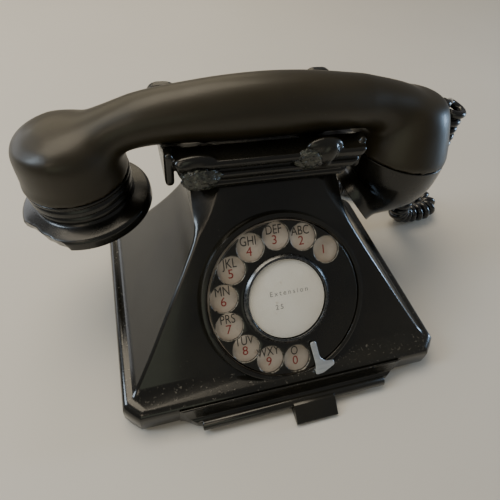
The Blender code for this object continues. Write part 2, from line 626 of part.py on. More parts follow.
def glands():
    """Two moulded glands in the back of the skirt: handset cord and line cord."""
    for name, side in (("handset_cord_gland", 1), ("line_cord_gland", -1)):
        profile = [(2.9, 7.0), (4.0, 6.6), (5.4, 0.9), (5.4, 0.3), (3.6, 0.3), (3.6, -3.3), (4.3, -3.3),
                   (4.3, -4.4), (2.9, -4.4)]
        turned(name, [(r * MM, h * MM) for r, h in profile], RUBBER, TELEPHONE, 16,
               (side * GLAND_X, SKIRT_BACK, GLAND_Z), (-math.pi / 2, 0.0, 0.0))


# ---------------------------------------------------------------- drawer

FRONT_FACE = -62.0 * MM
BEAD_R = 2.8 * MM
BEAD_Y = -62.6 * MM
BEAD_Z = 4.4 * MM
TAB_X = 8.0 * MM


def drawer():
    """A shallow tray on runners, with a moulded front, a bead along it and a finger tab."""
    half = TRAY_HALF_WIDTH
    front = SKIRT_FRONT + 0.5 * MM
    block = box_mesh("drawer_tray", (-half, front, TRAY_FLOOR), (half, TRAY_BACK, TRAY_TOP))
    tray = add("drawer_tray", block, STEEL)
    cut(tray, box_mesh("tray_inside", (-half + 1.2 * MM, front + 1.2 * MM, TRAY_FLOOR + 1.2 * MM),
                       (half - 1.2 * MM, TRAY_BACK - 1.2 * MM, TRAY_TOP + 5.0 * MM)))
    top = 14.6 * MM
    rear = SKIRT_FRONT - GAP
    side = [(rear, 2.4 * MM), (rear, top), (rear - 0.8 * MM, top - 0.1 * MM)]
    for k in range(6):
        turn = (k + 1) / 6 * math.pi / 2
        side.append((rear - 0.8 * MM - 3.6 * MM * (1 - math.cos(turn)), top - 7.8 * MM * math.sin(turn)))
    side.append((BEAD_Y, BEAD_Z + 1.0 * MM))
    side.append((BEAD_Y, 2.4 * MM))
    front_piece = extruded("drawer_front", side, 130.0 * MM, BAKELITE, TELEPHONE, (0.0, 0.0, 0.0),
                           (math.pi / 2, 0.0, math.pi / 2))
    ends = ogee(-61.0, -50.6) + ogee(50.6, 61.0)
    plan = [(-61.0, -57.0)] + ends + [(61.0, -57.0), (61.0, -50.0), (-61.0, -50.0)]
    trim = extruded("front_plan", [(x * MM, y * MM) for x, y in plan], 40.0 * MM, None, TELEPHONE,
                    (0.0, 0.0, 8.0 * MM))
    boolean(front_piece, trim, "INTERSECT")
    bead_at = (0.0, BEAD_Y, BEAD_Z)
    join(front_piece, cylinder_mesh("front_bead", BEAD_R, -50.4 * MM, 50.4 * MM, 16, "X", bead_at))
    tab = [(-62.4, 7.0), (-65.6, 7.4), (-73.4, 2.4), (-73.4, 1.0), (-65.0, 1.0), (-65.6, 1.6), (-62.4, 1.5)]
    wedge = extruded("drawer_tab", [(y * MM, z * MM) for y, z in tab], 23.0 * MM, BAKELITE, TELEPHONE,
                     (TAB_X, 0.0, 0.0), (math.pi / 2, 0.0, math.pi / 2))
    cut(wedge, cylinder_mesh("bead_seat", BEAD_R + GAP, -60.0 * MM, 60.0 * MM, 20, "X", bead_at))
    cut(wedge, box_mesh("tab_back", (-60.0 * MM, -63.5 * MM, 0.0), (60.0 * MM, -50.0 * MM, BEAD_Z)))
    card = box_mesh("drawer_card", (-half + 3.0 * MM, front + 3.0 * MM, TRAY_FLOOR + 1.6 * MM),
                    (half - 3.0 * MM, TRAY_BACK - 4.0 * MM, TRAY_FLOOR + 2.4 * MM))
    add("drawer_card", card, CARD)
    for name, x in (("left", -1), ("right", 1)):
        outer = x * (half + 0.4 * MM)
        low_x = min(outer, outer + x * 3.0 * MM)
        add("drawer_runner_" + name, box_mesh("drawer_runner", (low_x, SKIRT_FRONT + 9.0 * MM, 3.3 * MM),
                                              (low_x + 3.0 * MM, TRAY_BACK, TRAY_TOP)), STEEL)


def ogee(start, end):
    """The S-shaped end of the drawer's front in plan, in millimetres, from x start to x end."""
    points = []
    for k in range(9):
        t = k / 8
        rise = 0.5 - 0.5 * math.cos(math.pi * t)
        rise = rise if end < 0 else 1.0 - rise
        points.append((start + (end - start) * t, -57.6 - 4.8 * rise))
    if end < 0:
        points.append((-50.6, -66.0))
    else:
        points.insert(0, (50.6, -66.0))
    return points


# ---------------------------------------------------------------- handset

EAR_AT = (-88.8 * MM, 65.6 * MM)
EAR_TILT = math.radians(6.6)
MOUTH_AT = (82.8 * MM, 85.5 * MM)
MOUTH_TILT = math.radians(-5.8)

# Handle stations: along the handset, height, half-height and half-width.
HANDLE = (
    (-86.0, 100.2, 12.0, 17.0),
    (-77.0, 104.8, 11.4, 15.2),
    (-67.0, 109.2, 11.2, 13.8),
    (-54.0, 112.4, 11.8, 13.6),
    (-38.0, 114.1, 13.0, 14.2),
    (-20.0, 115.0, 14.4, 14.8),
    (0.0, 115.6, 15.0, 15.0),
    (20.0, 115.6, 14.6, 14.8),
    (38.0, 115.0, 13.6, 14.2),
    (54.0, 113.8, 13.0, 13.4),
    (66.0, 111.0, 13.0, 13.6),
    (76.0, 107.2, 13.0, 15.0),
    (84.0, 103.2, 12.4, 16.0),
    (90.0, 100.4, 11.6, 14.6),
)


def handle_mesh():
    """The grip: ellipses set square to the handle's arched middle line."""
    rings = []
    for i, (x, z, tall, wide) in enumerate(HANDLE):
        before = HANDLE[max(0, i - 1)]
        after = HANDLE[min(len(HANDLE) - 1, i + 1)]
        lean = math.atan2(after[1] - before[1], after[0] - before[0])
        ring = []
        for k in range(20):
            turn = 2 * math.pi * k / 20
            up = tall * math.sin(turn)
            ring.append(((x - up * math.sin(lean)) * MM, HANDSET_Y + wide * math.cos(turn) * MM,
                         (z + up * math.cos(lean)) * MM))
        rings.append(ring)
    return loft("handle", rings, 50.0)


def end_frame(at, tilt):
    return empty("handset_end", (at[0], HANDSET_Y, at[1]), TELEPHONE, (0.0, -tilt, 0.0))


def turned_mesh(name, profile, steps=32):
    """A turned cutter or joiner: a solid of revolution about Z from a profile on the axis."""
    rings = [[(r * MM * math.cos(2 * math.pi * k / steps), r * MM * math.sin(2 * math.pi * k / steps), z * MM)
              for k in range(steps)] for r, z in profile]
    return loft(name, rings)


SLEEVE_AT = (104.2 * MM, 45.7 * MM, 103.6 * MM)
SLEEVE_TURN = (0.0, math.radians(84.0), math.radians(10.0))


def handset_shell(ear, mouth):
    """One moulding: the arched handle with a receiver cup and a transmitter cup, hollowed from below."""
    shell = add("handset_shell", handle_mesh(), BAKELITE)
    cup = [(25.0, 21.3), (25.0, 23.0), (24.2, 26.0), (23.6, 33.0), (22.9, 38.0), (20.6, 41.8), (15.6, 44.8),
           (9.0, 46.8), (2.0, 47.4)]
    join(shell, turned_mesh("receiver_cup", cup), ear)
    cup = [(29.0, 0.3), (28.8, 3.0), (26.6, 8.8), (23.8, 14.8), (21.0, 20.6), (18.4, 25.6), (15.6, 29.6),
           (12.4, 32.0), (8.0, 33.2), (2.0, 33.6)]
    join(shell, turned_mesh("transmitter_cup", cup), mouth)
    cut(shell, turned_mesh("receiver_well", [(22.0, 15.0), (22.0, 31.0), (19.0, 36.0)], 32), ear)
    well = [(25.8, -4.0), (25.6, 3.0), (23.2, 9.0), (20.4, 14.6), (17.0, 18.0)]
    cut(shell, turned_mesh("transmitter_well", well, 28), mouth)
    bore = cylinder_mesh("sleeve_bore", 4.3 * MM, -9.0 * MM, 2.0 * MM, 16)
    cut(shell, bore, TELEPHONE, SLEEVE_AT, SLEEVE_TURN)
    cut(shell, cylinder_mesh("sleeve_seat", 5.8 * MM, 0.0, 12.0 * MM, 20), TELEPHONE, SLEEVE_AT, SLEEVE_TURN)
    return shell


def ear_cap(ear):
    """A flared cap with a dished face and a sound opening at its middle."""
    profile = [(21.6, 20.9), (24.6, 20.9), (24.8, 19.6), (23.4, 18.4), (24.4, 17.2), (24.6, 14.8),
               (22.9, 13.6), (23.9, 12.4), (24.0, 10.4), (22.6, 9.2), (23.8, 8.2), (30.6, 6.2),
               (31.6, 5.2), (31.6, 0.8), (30.8, 0.0), (29.4, 0.0), (20.0, 3.2), (5.0, 4.6),
               (5.0, 7.2), (21.0, 9.0)]
    return turned("ear_cap", [(r * MM, z * MM) for r, z in profile], BAKELITE, ear, 36)


def mouthpiece():
    """A curved trumpet below the transmitter: circles that turn from level to facing the mouth."""
    stations = (
        (82.8, 85.5, 29.0, 5.8), (82.6, 78.5, 29.2, 7.0), (81.6, 71.0, 28.8, 13.0),
        (78.8, 64.0, 26.6, 25.0), (74.6, 58.8, 23.0, 38.0), (70.4, 55.6, 20.6, 46.0),
        (67.0, 53.4, 19.4, 49.5), (63.4, 50.0, 19.8, 50.0),
    )

    across = Vector((0.0, 1.0, 0.0))

    def rings(shrink, reach):
        made = []
        for i, (x, z, radius, tilt) in enumerate(stations):
            lean = math.radians(tilt)
            push = reach if i == len(stations) - 1 else (-reach if i == 0 else 0.0)
            out = Vector((-math.sin(lean), 0.0, -math.cos(lean)))
            side = Vector((math.cos(lean), 0.0, -math.sin(lean)))
            centre = Vector((x * MM, HANDSET_Y, z * MM)) + out * push
            turns = [2 * math.pi * k / 28 for k in range(28)]
            reach_out = (radius - shrink) * MM
            made.append([centre + (side * math.cos(a) + across * math.sin(a)) * reach_out for a in turns])
        return made

    made = add("mouthpiece", loft("mouthpiece", rings(0.0, 0.0), 40.0), BAKELITE)
    cut(made, loft("mouthpiece_bore", rings(2.4, 2.0 * MM), 40.0))
    return made


def capsules(ear, mouth):
    receiver = [(0.0, 30.0), (17.0, 30.0), (20.6, 27.0), (20.6, 10.4), (0.0, 10.4)]
    turned("receiver_capsule", [(r * MM, z * MM) for r, z in receiver], STEEL, ear, 28)
    transmitter = [(0.0, 12.4), (16.0, 12.4), (21.6, 8.4), (24.8, 2.8), (24.8, 1.0), (22.0, -2.0),
                   (0.0, -2.0)]
    turned("transmitter_capsule", [(r * MM, z * MM) for r, z in transmitter], STEEL, mouth, 28)


# ---------------------------------------------------------------- cord

def smooth_route(route, spacing):
    """Points at an even spacing along a smooth curve through the route's own points."""
    points = [Vector(p) * MM for p in route]
    ends = [points[0] * 2 - points[1]] + points + [points[-1] * 2 - points[-2]]
    dense = []
    for a, b, c, d in zip(ends, ends[1:], ends[2:], ends[3:]):
        for k in range(24):
            t = k / 24
            dense.append(0.5 * (2 * b + (c - a) * t + (2 * a - 5 * b + 4 * c - d) * t * t
                                + (3 * b - 3 * c + d - a) * t ** 3))
    dense.append(points[-1])
    length = sum((q - p).length for p, q in zip(dense, dense[1:]))
    count = max(3, round(length / spacing))
    made = [dense[0]]
    run = 0.0
    for p, q in zip(dense, dense[1:]):
        step = (q - p).length
        while run + step >= length / count * len(made) and len(made) < count:
            made.append(p.lerp(q, (length / count * len(made) - run) / step))
        run += step
    made.append(dense[-1])
    return made


def tube(name, points, radius, surface):
    curve = bpy.data.curves.new(name, "CURVE")
    curve.dimensions = "3D"
    curve.bevel_depth = radius
    curve.bevel_resolution = 2
    curve.use_fill_caps = True
    spline = curve.splines.new("POLY")
    spline.points.add(len(points) - 1)
    for point, place in zip(spline.points, points):
        point.co = (*place, 1.0)
    return add(name, curve, surface)


# Route of the cord in the body's frame, in millimetres: out of the handset, down to the table,
# along it to the right, and back behind the case.
HANDSET_TAIL = ((102.7, 45.4, 103.4), (107.4, 46.2, 104.0), (113.0, 47.2, 104.9), (119.4, 48.6, 106.4),
                (124.8, 49.8, 106.0), (127.0, 50.3, 103.2), (126.8, 50.4, 99.0))
COIL_ROUTE = ((122.2, 49.8, 97.8), (120.9, 49.4, 91.0), (121.4, 49.2, 82.0), (122.6, 49.6, 68.0),
              (122.4, 50.2, 50.0), (120.4, 50.8, 34.0), (119.6, 51.8, 21.0), (123.0, 53.2, 11.6),
              (131.0, 54.0, 8.0), (142.0, 54.0, 8.0), (150.4, 56.6, 8.0), (153.3, 63.0, 8.0),
              (149.6, 69.6, 8.0), (141.0, 72.4, 8.0), (130.0, 74.0, 8.0), (119.0, 78.0, 8.0),
              (107.0, 85.0, 8.0), (95.0, 92.0, 8.0), (81.0, 98.6, 8.0), (66.0, 101.8, 8.0),
              (52.0, 100.6, 8.0))
BASE_TAIL = ((51.4, 100.4, 8.0), (45.0, 98.0, 8.0), (38.4, 93.0, 8.0), (34.6, 86.6, 8.0), (34.0, 78.0, 7.8))


def cord():
    tube("cord_tail_handset", smooth_route(HANDSET_TAIL, 5.0 * MM), CORD_R, CORD_PLASTIC)
    tube("curly_cord", smooth_route(COIL_ROUTE, 9.0 * MM), COIL_R, CORD_PLASTIC)
    tube("cord_tail_base", smooth_route(BASE_TAIL, 5.0 * MM), CORD_R, CORD_PLASTIC)


def handset_sleeve():
    """The sleeve where the cord leaves the transmitter cup."""
    profile = [(2.9, 7.0), (4.2, 6.4), (5.2, 0.9), (5.2, 0.3), (3.9, 0.3), (3.9, -2.6), (2.9, -2.6)]
    return turned("handset_cord_sleeve", [(r * MM, h * MM) for r, h in profile], RUBBER, TELEPHONE, 16,
                  SLEEVE_AT, SLEEVE_TURN)


def build():
    body_case()
    base_plate()
    feet_and_screws()
    number_plate()
    finger_plate()
    label_pieces()
    finger_stop()
    dial_mechanism()
    cradle()
    hook_switch()
    inner_parts()
    glands()
    drawer()
    ear = end_frame(EAR_AT, EAR_TILT)
    mouth = end_frame(MOUTH_AT, MOUTH_TILT)
    handset_shell(ear, mouth)
    ear_cap(ear)
    mouthpiece()
    capsules(ear, mouth)
    handset_sleeve()
    cord()


build()
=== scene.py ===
"""Looks of the rotary telephone: worn black Bakelite, cream dial, paper card and a curly cord."""
import json
import math

import bmesh
import bpy
from mathutils import Euler, Matrix, Vector, noise


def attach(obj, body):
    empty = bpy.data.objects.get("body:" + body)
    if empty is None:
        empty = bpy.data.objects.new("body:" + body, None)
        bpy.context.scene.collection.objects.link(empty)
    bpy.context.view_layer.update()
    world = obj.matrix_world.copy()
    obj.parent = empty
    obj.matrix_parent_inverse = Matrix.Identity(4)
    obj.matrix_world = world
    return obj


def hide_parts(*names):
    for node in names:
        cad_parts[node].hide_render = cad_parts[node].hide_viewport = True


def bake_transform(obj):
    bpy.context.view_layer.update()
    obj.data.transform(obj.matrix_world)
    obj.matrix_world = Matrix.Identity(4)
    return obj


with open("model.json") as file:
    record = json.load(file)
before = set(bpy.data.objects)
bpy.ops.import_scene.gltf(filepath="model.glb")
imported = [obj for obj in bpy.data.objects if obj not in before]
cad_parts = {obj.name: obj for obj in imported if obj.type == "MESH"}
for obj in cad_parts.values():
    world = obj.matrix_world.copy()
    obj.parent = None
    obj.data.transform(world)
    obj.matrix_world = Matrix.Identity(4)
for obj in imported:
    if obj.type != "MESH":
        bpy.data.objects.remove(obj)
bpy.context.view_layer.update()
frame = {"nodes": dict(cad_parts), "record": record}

MM = 0.001



def moved(x, y, z):
    """A shift given in millimetres."""
    return Matrix.Translation(Vector((x, y, z)) * MM)


def spun(degrees, axis):
    return Matrix.Rotation(math.radians(degrees), 4, axis)


# The body's own frame, as in the part: its X zero is the dial's middle plane.
BODY = Vector((4.5 * MM, -3.3 * MM, 0.0))
BODY_FRAME = Matrix.Translation(BODY)
DIAL_Y = -24.8
DIAL_Z = 45.8
PANEL_LEAN = math.radians(43.9)
DIAL_LOCAL = moved(0.0, DIAL_Y, DIAL_Z) @ Matrix.Rotation(math.pi / 2 - PANEL_LEAN, 4, "X")
DIAL_FRAME = BODY_FRAME @ DIAL_LOCAL
HANDSET_Y = 40.0
EAR_LOCAL = moved(-88.8, HANDSET_Y, 65.6) @ spun(-6.6, "Y")
MOUTH_LOCAL = moved(82.8, HANDSET_Y, 85.5) @ spun(5.8, "Y")
PLUNGER_X = 30.0

BASE = "telephone_base"


def linked(name, data):
    """A new object with this data, in the scene."""
    made = bpy.data.objects.new(name, data)
    bpy.context.scene.collection.objects.link(made)
    return made


# ---- camera, floor and light

def camera():
    data = bpy.data.cameras.new("camera")
    data.sensor_width = 36.0
    data.lens = 29.5
    data.clip_start = 0.01
    made = linked("camera", data)
    azimuth, elevation, roll = (math.radians(a) for a in (21.54, 48.94, 7.95))
    target = Vector((-0.3, 19.7, 29.85)) * MM
    reach = 248.0 * MM
    back = Vector((-math.sin(azimuth) * math.cos(elevation), -math.cos(azimuth) * math.cos(elevation),
                   math.sin(elevation)))
    turn = Euler((math.pi / 2 - elevation, 0.0, -azimuth)).to_matrix().to_4x4()
    made.matrix_world = Matrix.Translation(target + back * reach) @ turn @ Matrix.Rotation(roll, 4, "Z")
    bpy.context.scene.camera = made


def area_light(name, place, target, size, power, colour):
    data = bpy.data.lights.new(name, "AREA")
    data.shape = "RECTANGLE"
    data.size, data.size_y = size
    data.energy = power
    data.color = colour
    place, target = Vector(place), Vector(target)
    turn = (target - place).to_track_quat("-Z", "Y").to_matrix().to_4x4()
    linked(name, data).matrix_world = Matrix.Translation(place) @ turn


def lights():
    """Cool windows at both sides, warm walls and ceiling behind, and two dim cards in front."""
    middle = (0.0, 0.0, 0.06)
    for name, place, size, power, colour in (
            ("window_right", (0.95, -0.02, 0.20), (0.15, 0.24), 3.0, (0.50, 0.72, 1.0)),
            ("window_left", (-0.80, 0.08, 0.62), (0.20, 0.36), 3.0, (0.74, 0.87, 1.0)),
            ("wall_left", (-0.90, 0.72, 0.30), (0.80, 0.42), 1.9, (0.95, 0.97, 1.0)),
            ("wall_back", (-0.20, 1.15, 0.62), (1.10, 0.50), 2.2, (1.0, 0.86, 0.60)),
            ("ceiling", (-0.26, 0.50, 1.20), (1.10, 0.70), 10.0, (1.0, 0.88, 0.68)),
            ("corner_card", (-0.62, -0.52, 0.95), (0.34, 0.34), 0.8, (1.0, 0.84, 0.62)),
            ("front_card", (-0.42, -0.95, 0.55), (0.70, 0.50), 0.6, (0.92, 1.0, 0.72))):
        area_light(name, place, middle, size, power, colour)
    world = bpy.data.worlds.new("studio")
    world.use_nodes = True
    background = world.node_tree.nodes["Background"]
    background.inputs["Color"].default_value = (0.80, 0.80, 0.80, 1.0)
    background.inputs["Strength"].default_value = 0.22
    bpy.context.scene.world = world


def floor():
    bm = bmesh.new()
    bmesh.ops.create_grid(bm, x_segments=2, y_segments=2, size=3.0)
    mesh = bpy.data.meshes.new("floor")
    bm.to_mesh(mesh)
    bm.free()
    made = linked("floor", mesh)
    mesh.materials.append(floor_paint())


# ---- materials

class Nodes:
    """A material's node tree, with short ways to add and join nodes."""

    def __init__(self, name):
        self.material = bpy.data.materials.new(name)
        self.material.use_nodes = True
        self.tree = self.material.node_tree
        self.shader = self.tree.nodes["Principled BSDF"]
        self.coordinates = self.tree.nodes.new("ShaderNodeTexCoord").outputs["Object"]

    def set(self, **values):
        names = {"roughness": "Roughness", "metallic": "Metallic", "alpha": "Alpha",
                 "specular": "Specular IOR Level", "coat": "Coat Weight", "coat_roughness": "Coat Roughness"}
        for key, value in values.items():
            self.shader.inputs[names[key]].default_value = value

    def add(self, kind, **values):
        node = self.tree.nodes.new("ShaderNode" + kind)
        for name, value in values.items():
            node.inputs[name].default_value = value
        return node

    def join(self, output, node_input):
        self.tree.links.new(output, node_input)

    def feed(self, value, node_input):
        """A number, a colour or another node's output into an input."""
        if isinstance(value, (int, float)):
            node_input.default_value = value
        elif isinstance(value, tuple):
            node_input.default_value = (*value, 1.0)
        else:
            self.join(value, node_input)

    def noise(self, scale, detail=4.0, roughness=0.55, stretch=None):
        node = self.add("TexNoise", Scale=scale, Detail=detail, Roughness=roughness)
        self.join(self.stretched(stretch), node.inputs["Vector"])
        return node.outputs["Fac"]

    def cells(self, scale):
        node = self.add("TexVoronoi", Scale=scale)
        self.join(self.coordinates, node.inputs["Vector"])
        return node.outputs["Distance"]

    def stretched(self, stretch):
        if stretch is None:
            return self.coordinates
        node = self.add("Mapping", Scale=stretch, Rotation=(0.4, 0.7, 0.5))
        self.join(self.coordinates, node.inputs["Vector"])
        return node.outputs["Vector"]

    def ramp(self, value, *stops):
        """Colours or greys at places from 0 to 1."""
        node = self.add("ValToRGB")
        elements = node.color_ramp.elements
        while len(elements) < len(stops):
            elements.new(0.5)
        for element, (place, colour) in zip(elements, stops):
            element.position = place
            shade = (colour, colour, colour) if isinstance(colour, float) else colour
            element.color = (*shade, 1.0)
        self.join(value, node.inputs["Fac"])
        return node.outputs["Color"]

    def math(self, operation, a, b):
        node = self.add("Math")
        node.operation = operation
        self.feed(a, node.inputs[0])
        self.feed(b, node.inputs[1])
        return node.outputs["Value"]

    def mix(self, factor, a, b):
        """The node's inputs 0, 6 and 7 and its output 2 are the ones for colours."""
        node = self.add("Mix")
        node.data_type = "RGBA"
        for value, place in ((factor, 0), (a, 6), (b, 7)):
            self.feed(value, node.inputs[place])
        return node.outputs[2]

    def pointiness(self):
        return self.add("NewGeometry").outputs["Pointiness"]

    def height_band(self, middle, reach):
        """One near a height in metres, falling to nothing at the reach from it."""
        split = self.add("SeparateXYZ")
        self.join(self.coordinates, split.inputs["Vector"])
        away = self.math("ABSOLUTE", self.math("SUBTRACT", split.outputs["Z"], middle), 0.0)
        return self.math("MAXIMUM", self.math("SUBTRACT", 1.0, self.math("DIVIDE", away, reach)), 0.0)

    def bump(self, height, strength, distance=0.0002, under=None):
        node = self.add("Bump", Strength=strength, Distance=distance)
        self.join(height, node.inputs["Height"])
        if under is not None:
            self.join(under, node.inputs["Normal"])
        return node.outputs["Normal"]

    def finish(self, colour=None, roughness=None, normal=None):
        for name, output in (("Base Color", colour), ("Roughness", roughness), ("Normal", normal)):
            if output is not None:
                self.join(output, self.shader.inputs[name])
        return self.material


def floor_paint():
    n = Nodes("floor_paint")
    n.set(roughness=0.55)
    tone = n.ramp(n.noise(3.0, 3.0), (0.3, (0.66, 0.62, 0.55)), (0.7, (0.70, 0.66, 0.59)))
    return n.finish(colour=tone)


def bakelite(name, dust=1.0, wear=0.0, gloss=0.15, crease=None, coat=0.2, brown=0.0):
    """Black phenolic with a brown-green cast, faint clouds, fine scratches and settled dust."""
    n = Nodes(name)
    n.set(specular=0.5, coat=coat, coat_roughness=0.1)
    clouds = n.noise(26.0, 5.0, 0.6)
    low, high = (0.0035, 0.0032, 0.0022), (0.0105, 0.0088, 0.0048)
    # brown adds a warm tint to the base colour: a painted brown sheen, used on the handset
    warm = (0.010, 0.007, 0.002)
    low, high = (tuple(c + brown * w for c, w in zip(tone, warm)) for tone in (low, high))
    colour = n.ramp(clouds, (0.3, low), (0.7, high))
    specks = n.ramp(n.cells(420.0), (0.0, 1.0), (0.055, 1.0), (0.075, 0.0))
    sparse = n.ramp(n.noise(60.0, 2.0), (0.58, 0.0), (0.68, 1.0))
    dusty = n.math("MULTIPLY", n.math("MULTIPLY", specks, sparse), 0.35 * dust)
    if crease is not None:
        settled = n.height_band(*crease)
        lint = n.ramp(n.noise(520.0, 5.0, 0.7), (0.60, 0.0), (0.70, 0.55))
        dusty = n.math("MAXIMUM", dusty, n.math("MULTIPLY", settled, lint))
    colour = n.mix(dusty, colour, (0.36, 0.33, 0.27))
    haze = n.ramp(n.noise(9.0, 6.0, 0.65), (0.45, 0.0), (0.75, 0.05 * dust))
    colour = n.mix(haze, colour, (0.22, 0.20, 0.15))
    if wear > 0.0:
        edge = n.ramp(n.pointiness(), (0.53, 0.0), (0.60, 1.0))
        patchy = n.ramp(n.noise(160.0, 5.0, 0.7), (0.46, 0.0), (0.66, wear))
        colour = n.mix(n.math("MULTIPLY", edge, patchy), colour, (0.13, 0.105, 0.07))
    shine = n.ramp(n.noise(40.0, 6.0, 0.7), (0.3, gloss), (0.7, gloss + 0.12))
    scratches = n.noise(900.0, 2.0, 0.5, stretch=(1.0, 0.03, 0.2))
    grain = n.noise(320.0, 3.0)
    fine = n.bump(scratches, 0.10, 0.00006)
    return n.finish(colour, shine, n.bump(grain, 0.05, 0.0001, fine))


def resin():
    """Old dried adhesive over a fracture: greenish grey, granular and glossy in places."""
    n = Nodes("dried_adhesive")
    n.set(coat=0.6, coat_roughness=0.08)
    grains = n.noise(420.0, 6.0, 0.72)
    tone = n.ramp(grains, (0.38, (0.006, 0.006, 0.005)), (0.56, (0.040, 0.042, 0.030)),
                  (0.70, (0.17, 0.18, 0.14)))
    return n.finish(tone, n.ramp(grains, (0.3, 0.12), (0.7, 0.45)), n.bump(grains, 0.6, 0.0006))


def worn_rim():
    """The rims of the finger holes, rubbed brown and grey by fingers, and lightened as a painted highlight.
    """
    n = Nodes("worn_rim")
    rubbed = n.noise(420.0, 4.0, 0.65)
    tone = n.ramp(rubbed, (0.40, (0.02, 0.018, 0.012)), (0.62, (0.30, 0.27, 0.22)))
    return n.finish(tone, n.ramp(rubbed, (0.3, 0.22), (0.7, 0.38)), n.bump(rubbed, 0.15, 0.00005))


def enamel():
    """Cream vitreous enamel, a little pinkish, stained brown in places."""
    n = Nodes("cream_enamel")
    n.set(coat=0.4, coat_roughness=0.15)
    tone = n.ramp(n.noise(90.0, 5.0, 0.6), (0.3, (0.50, 0.42, 0.34)), (0.7, (0.66, 0.57, 0.48)))
    stain = n.ramp(n.noise(260.0, 4.0), (0.60, 0.0), (0.78, 0.55))
    colour = n.mix(stain, tone, (0.30, 0.20, 0.13))
    return n.finish(colour, n.ramp(n.noise(60.0), (0.3, 0.25), (0.7, 0.42)), n.bump(n.noise(500.0), 0.05))


def card_paper():
    """Old card with foxing and a few specks."""
    n = Nodes("label_paper")
    n.set(specular=0.2)
    tone = n.ramp(n.noise(70.0, 6.0, 0.6), (0.3, (0.84, 0.79, 0.69)), (0.7, (0.93, 0.90, 0.82)))
    foxing = n.ramp(n.noise(210.0, 3.0), (0.66, 0.0), (0.76, 0.5))
    colour = n.mix(foxing, tone, (0.48, 0.36, 0.22))
    fibres = n.noise(1500.0, 3.0, 0.6, stretch=(1.0, 0.15, 1.0))
    return n.finish(colour, n.ramp(fibres, (0.3, 0.75), (0.7, 0.95)), n.bump(fibres, 0.15, 0.00005))


def clear_window():
    n = Nodes("clear_window")
    n.set(alpha=0.14)
    gloss = n.ramp(n.noise(200.0, 5.0, 0.6, stretch=(1.0, 0.1, 1.0)), (0.3, 0.05), (0.7, 0.2))
    return n.finish(n.ramp(n.noise(50.0), (0.3, (0.90, 0.88, 0.82)), (0.7, (0.97, 0.96, 0.93))), gloss)


def metal(name, dark, light, rough, brushed=(1.0, 1.0, 1.0), tarnish=(0.20, 0.17, 0.13), spread=0.62):
    """A worn metal: brushed grain and patches of tarnish."""
    n = Nodes(name)
    n.set(metallic=1.0)
    grain = n.noise(700.0, 4.0, 0.6, stretch=brushed)
    tone = n.ramp(grain, (0.3, dark), (0.7, light))
    patches = n.ramp(n.noise(110.0, 6.0, 0.65), (spread, 0.0), (spread + 0.16, 0.8))
    colour = n.mix(patches, tone, tarnish)
    gloss = n.math("ADD", n.ramp(grain, (0.3, rough), (0.7, rough + 0.12)), n.math("MULTIPLY", patches, 0.3))
    return n.finish(colour, gloss, n.bump(grain, 0.12, 0.00005))


def rubber():
    n = Nodes("aged_rubber")
    n.set(specular=0.3)
    tone = n.ramp(n.noise(120.0, 5.0), (0.3, (0.012, 0.012, 0.012)), (0.7, (0.035, 0.033, 0.030)))
    return n.finish(tone, n.ramp(n.noise(80.0), (0.3, 0.5), (0.7, 0.75)), n.bump(n.noise(600.0), 0.2, 0.0001))


def cord_plastic():
    """Glossy black cord sheath with fine dust in its hollows."""
    n = Nodes("cord_plastic")
    n.set(coat=0.3, coat_roughness=0.08)
    tone = n.ramp(n.noise(150.0, 4.0), (0.3, (0.006, 0.006, 0.007)), (0.7, (0.016, 0.016, 0.017)))
    lint = n.ramp(n.noise(900.0, 3.0), (0.66, 0.0), (0.74, 0.25))
    return n.finish(n.mix(lint, tone, (0.25, 0.24, 0.22)), n.ramp(n.noise(90.0), (0.3, 0.16), (0.7, 0.3)),
                    n.bump(n.noise(500.0), 0.06, 0.0001))


def phenolic():
    """Brown laminate with its paper layers."""
    n = Nodes("phenolic_board")
    layers = n.noise(800.0, 3.0, 0.5, stretch=(0.05, 0.05, 1.0))
    tone = n.ramp(layers, (0.3, (0.10, 0.045, 0.02)), (0.7, (0.20, 0.10, 0.05)))
    return n.finish(tone, n.ramp(layers, (0.3, 0.45), (0.7, 0.65)), n.bump(layers, 0.2, 0.0001))


def ink(name, dark, light):
    """Printed or fired ink that is thin in places."""
    n = Nodes(name)
    return n.finish(n.ramp(n.noise(900.0, 4.0), (0.35, dark), (0.75, light)),
                    n.ramp(n.noise(200.0), (0.3, 0.4), (0.7, 0.6)))


BAKELITE = bakelite("bakelite")
BAKELITE_CASE = bakelite("bakelite_case", crease=(15.8 * MM, 2.2 * MM))
BAKELITE_WORN = bakelite("bakelite_worn", dust=0.8, wear=0.8, gloss=0.20)
# The handset: real edge wear from handling, and a brown tint that is a painted sheen
BAKELITE_HANDLED_PAINTED_SHEEN = bakelite("bakelite_handled_painted_sheen", dust=0.7, wear=0.6, gloss=0.35, coat=0.06, brown=1.7)
RESIN = resin()
BAKELITE_DIAL = bakelite("bakelite_dial", dust=0.5, wear=0.3, gloss=0.22)
RIM_WEAR_AND_PAINTED_HIGHLIGHT = worn_rim()
ENAMEL = enamel()
PAPER = card_paper()
WINDOW = clear_window()
CHROME = metal("worn_chrome", (0.70, 0.74, 0.77), (0.90, 0.93, 0.95), 0.34, brushed=(0.1, 1.0, 1.0),
               tarnish=(0.42, 0.40, 0.36), spread=0.68)
STEEL = metal("dull_steel", (0.26, 0.26, 0.25), (0.46, 0.45, 0.43), 0.38, brushed=(1.0, 0.05, 1.0))
BRASS = metal("old_brass", (0.40, 0.28, 0.11), (0.62, 0.46, 0.20), 0.3, brushed=(1.0, 0.08, 1.0),
              tarnish=(0.12, 0.08, 0.04))
RUBBER = rubber()
CORD = cord_plastic()
PHENOLIC = phenolic()
BLACK_INK = ink("black_letters", (0.015, 0.014, 0.013), (0.09, 0.08, 0.07))
RED_INK = ink("red_figures", (0.24, 0.012, 0.010), (0.38, 0.05, 0.035))
GREY_INK = ink("typed_grey", (0.10, 0.095, 0.09), (0.34, 0.32, 0.29))
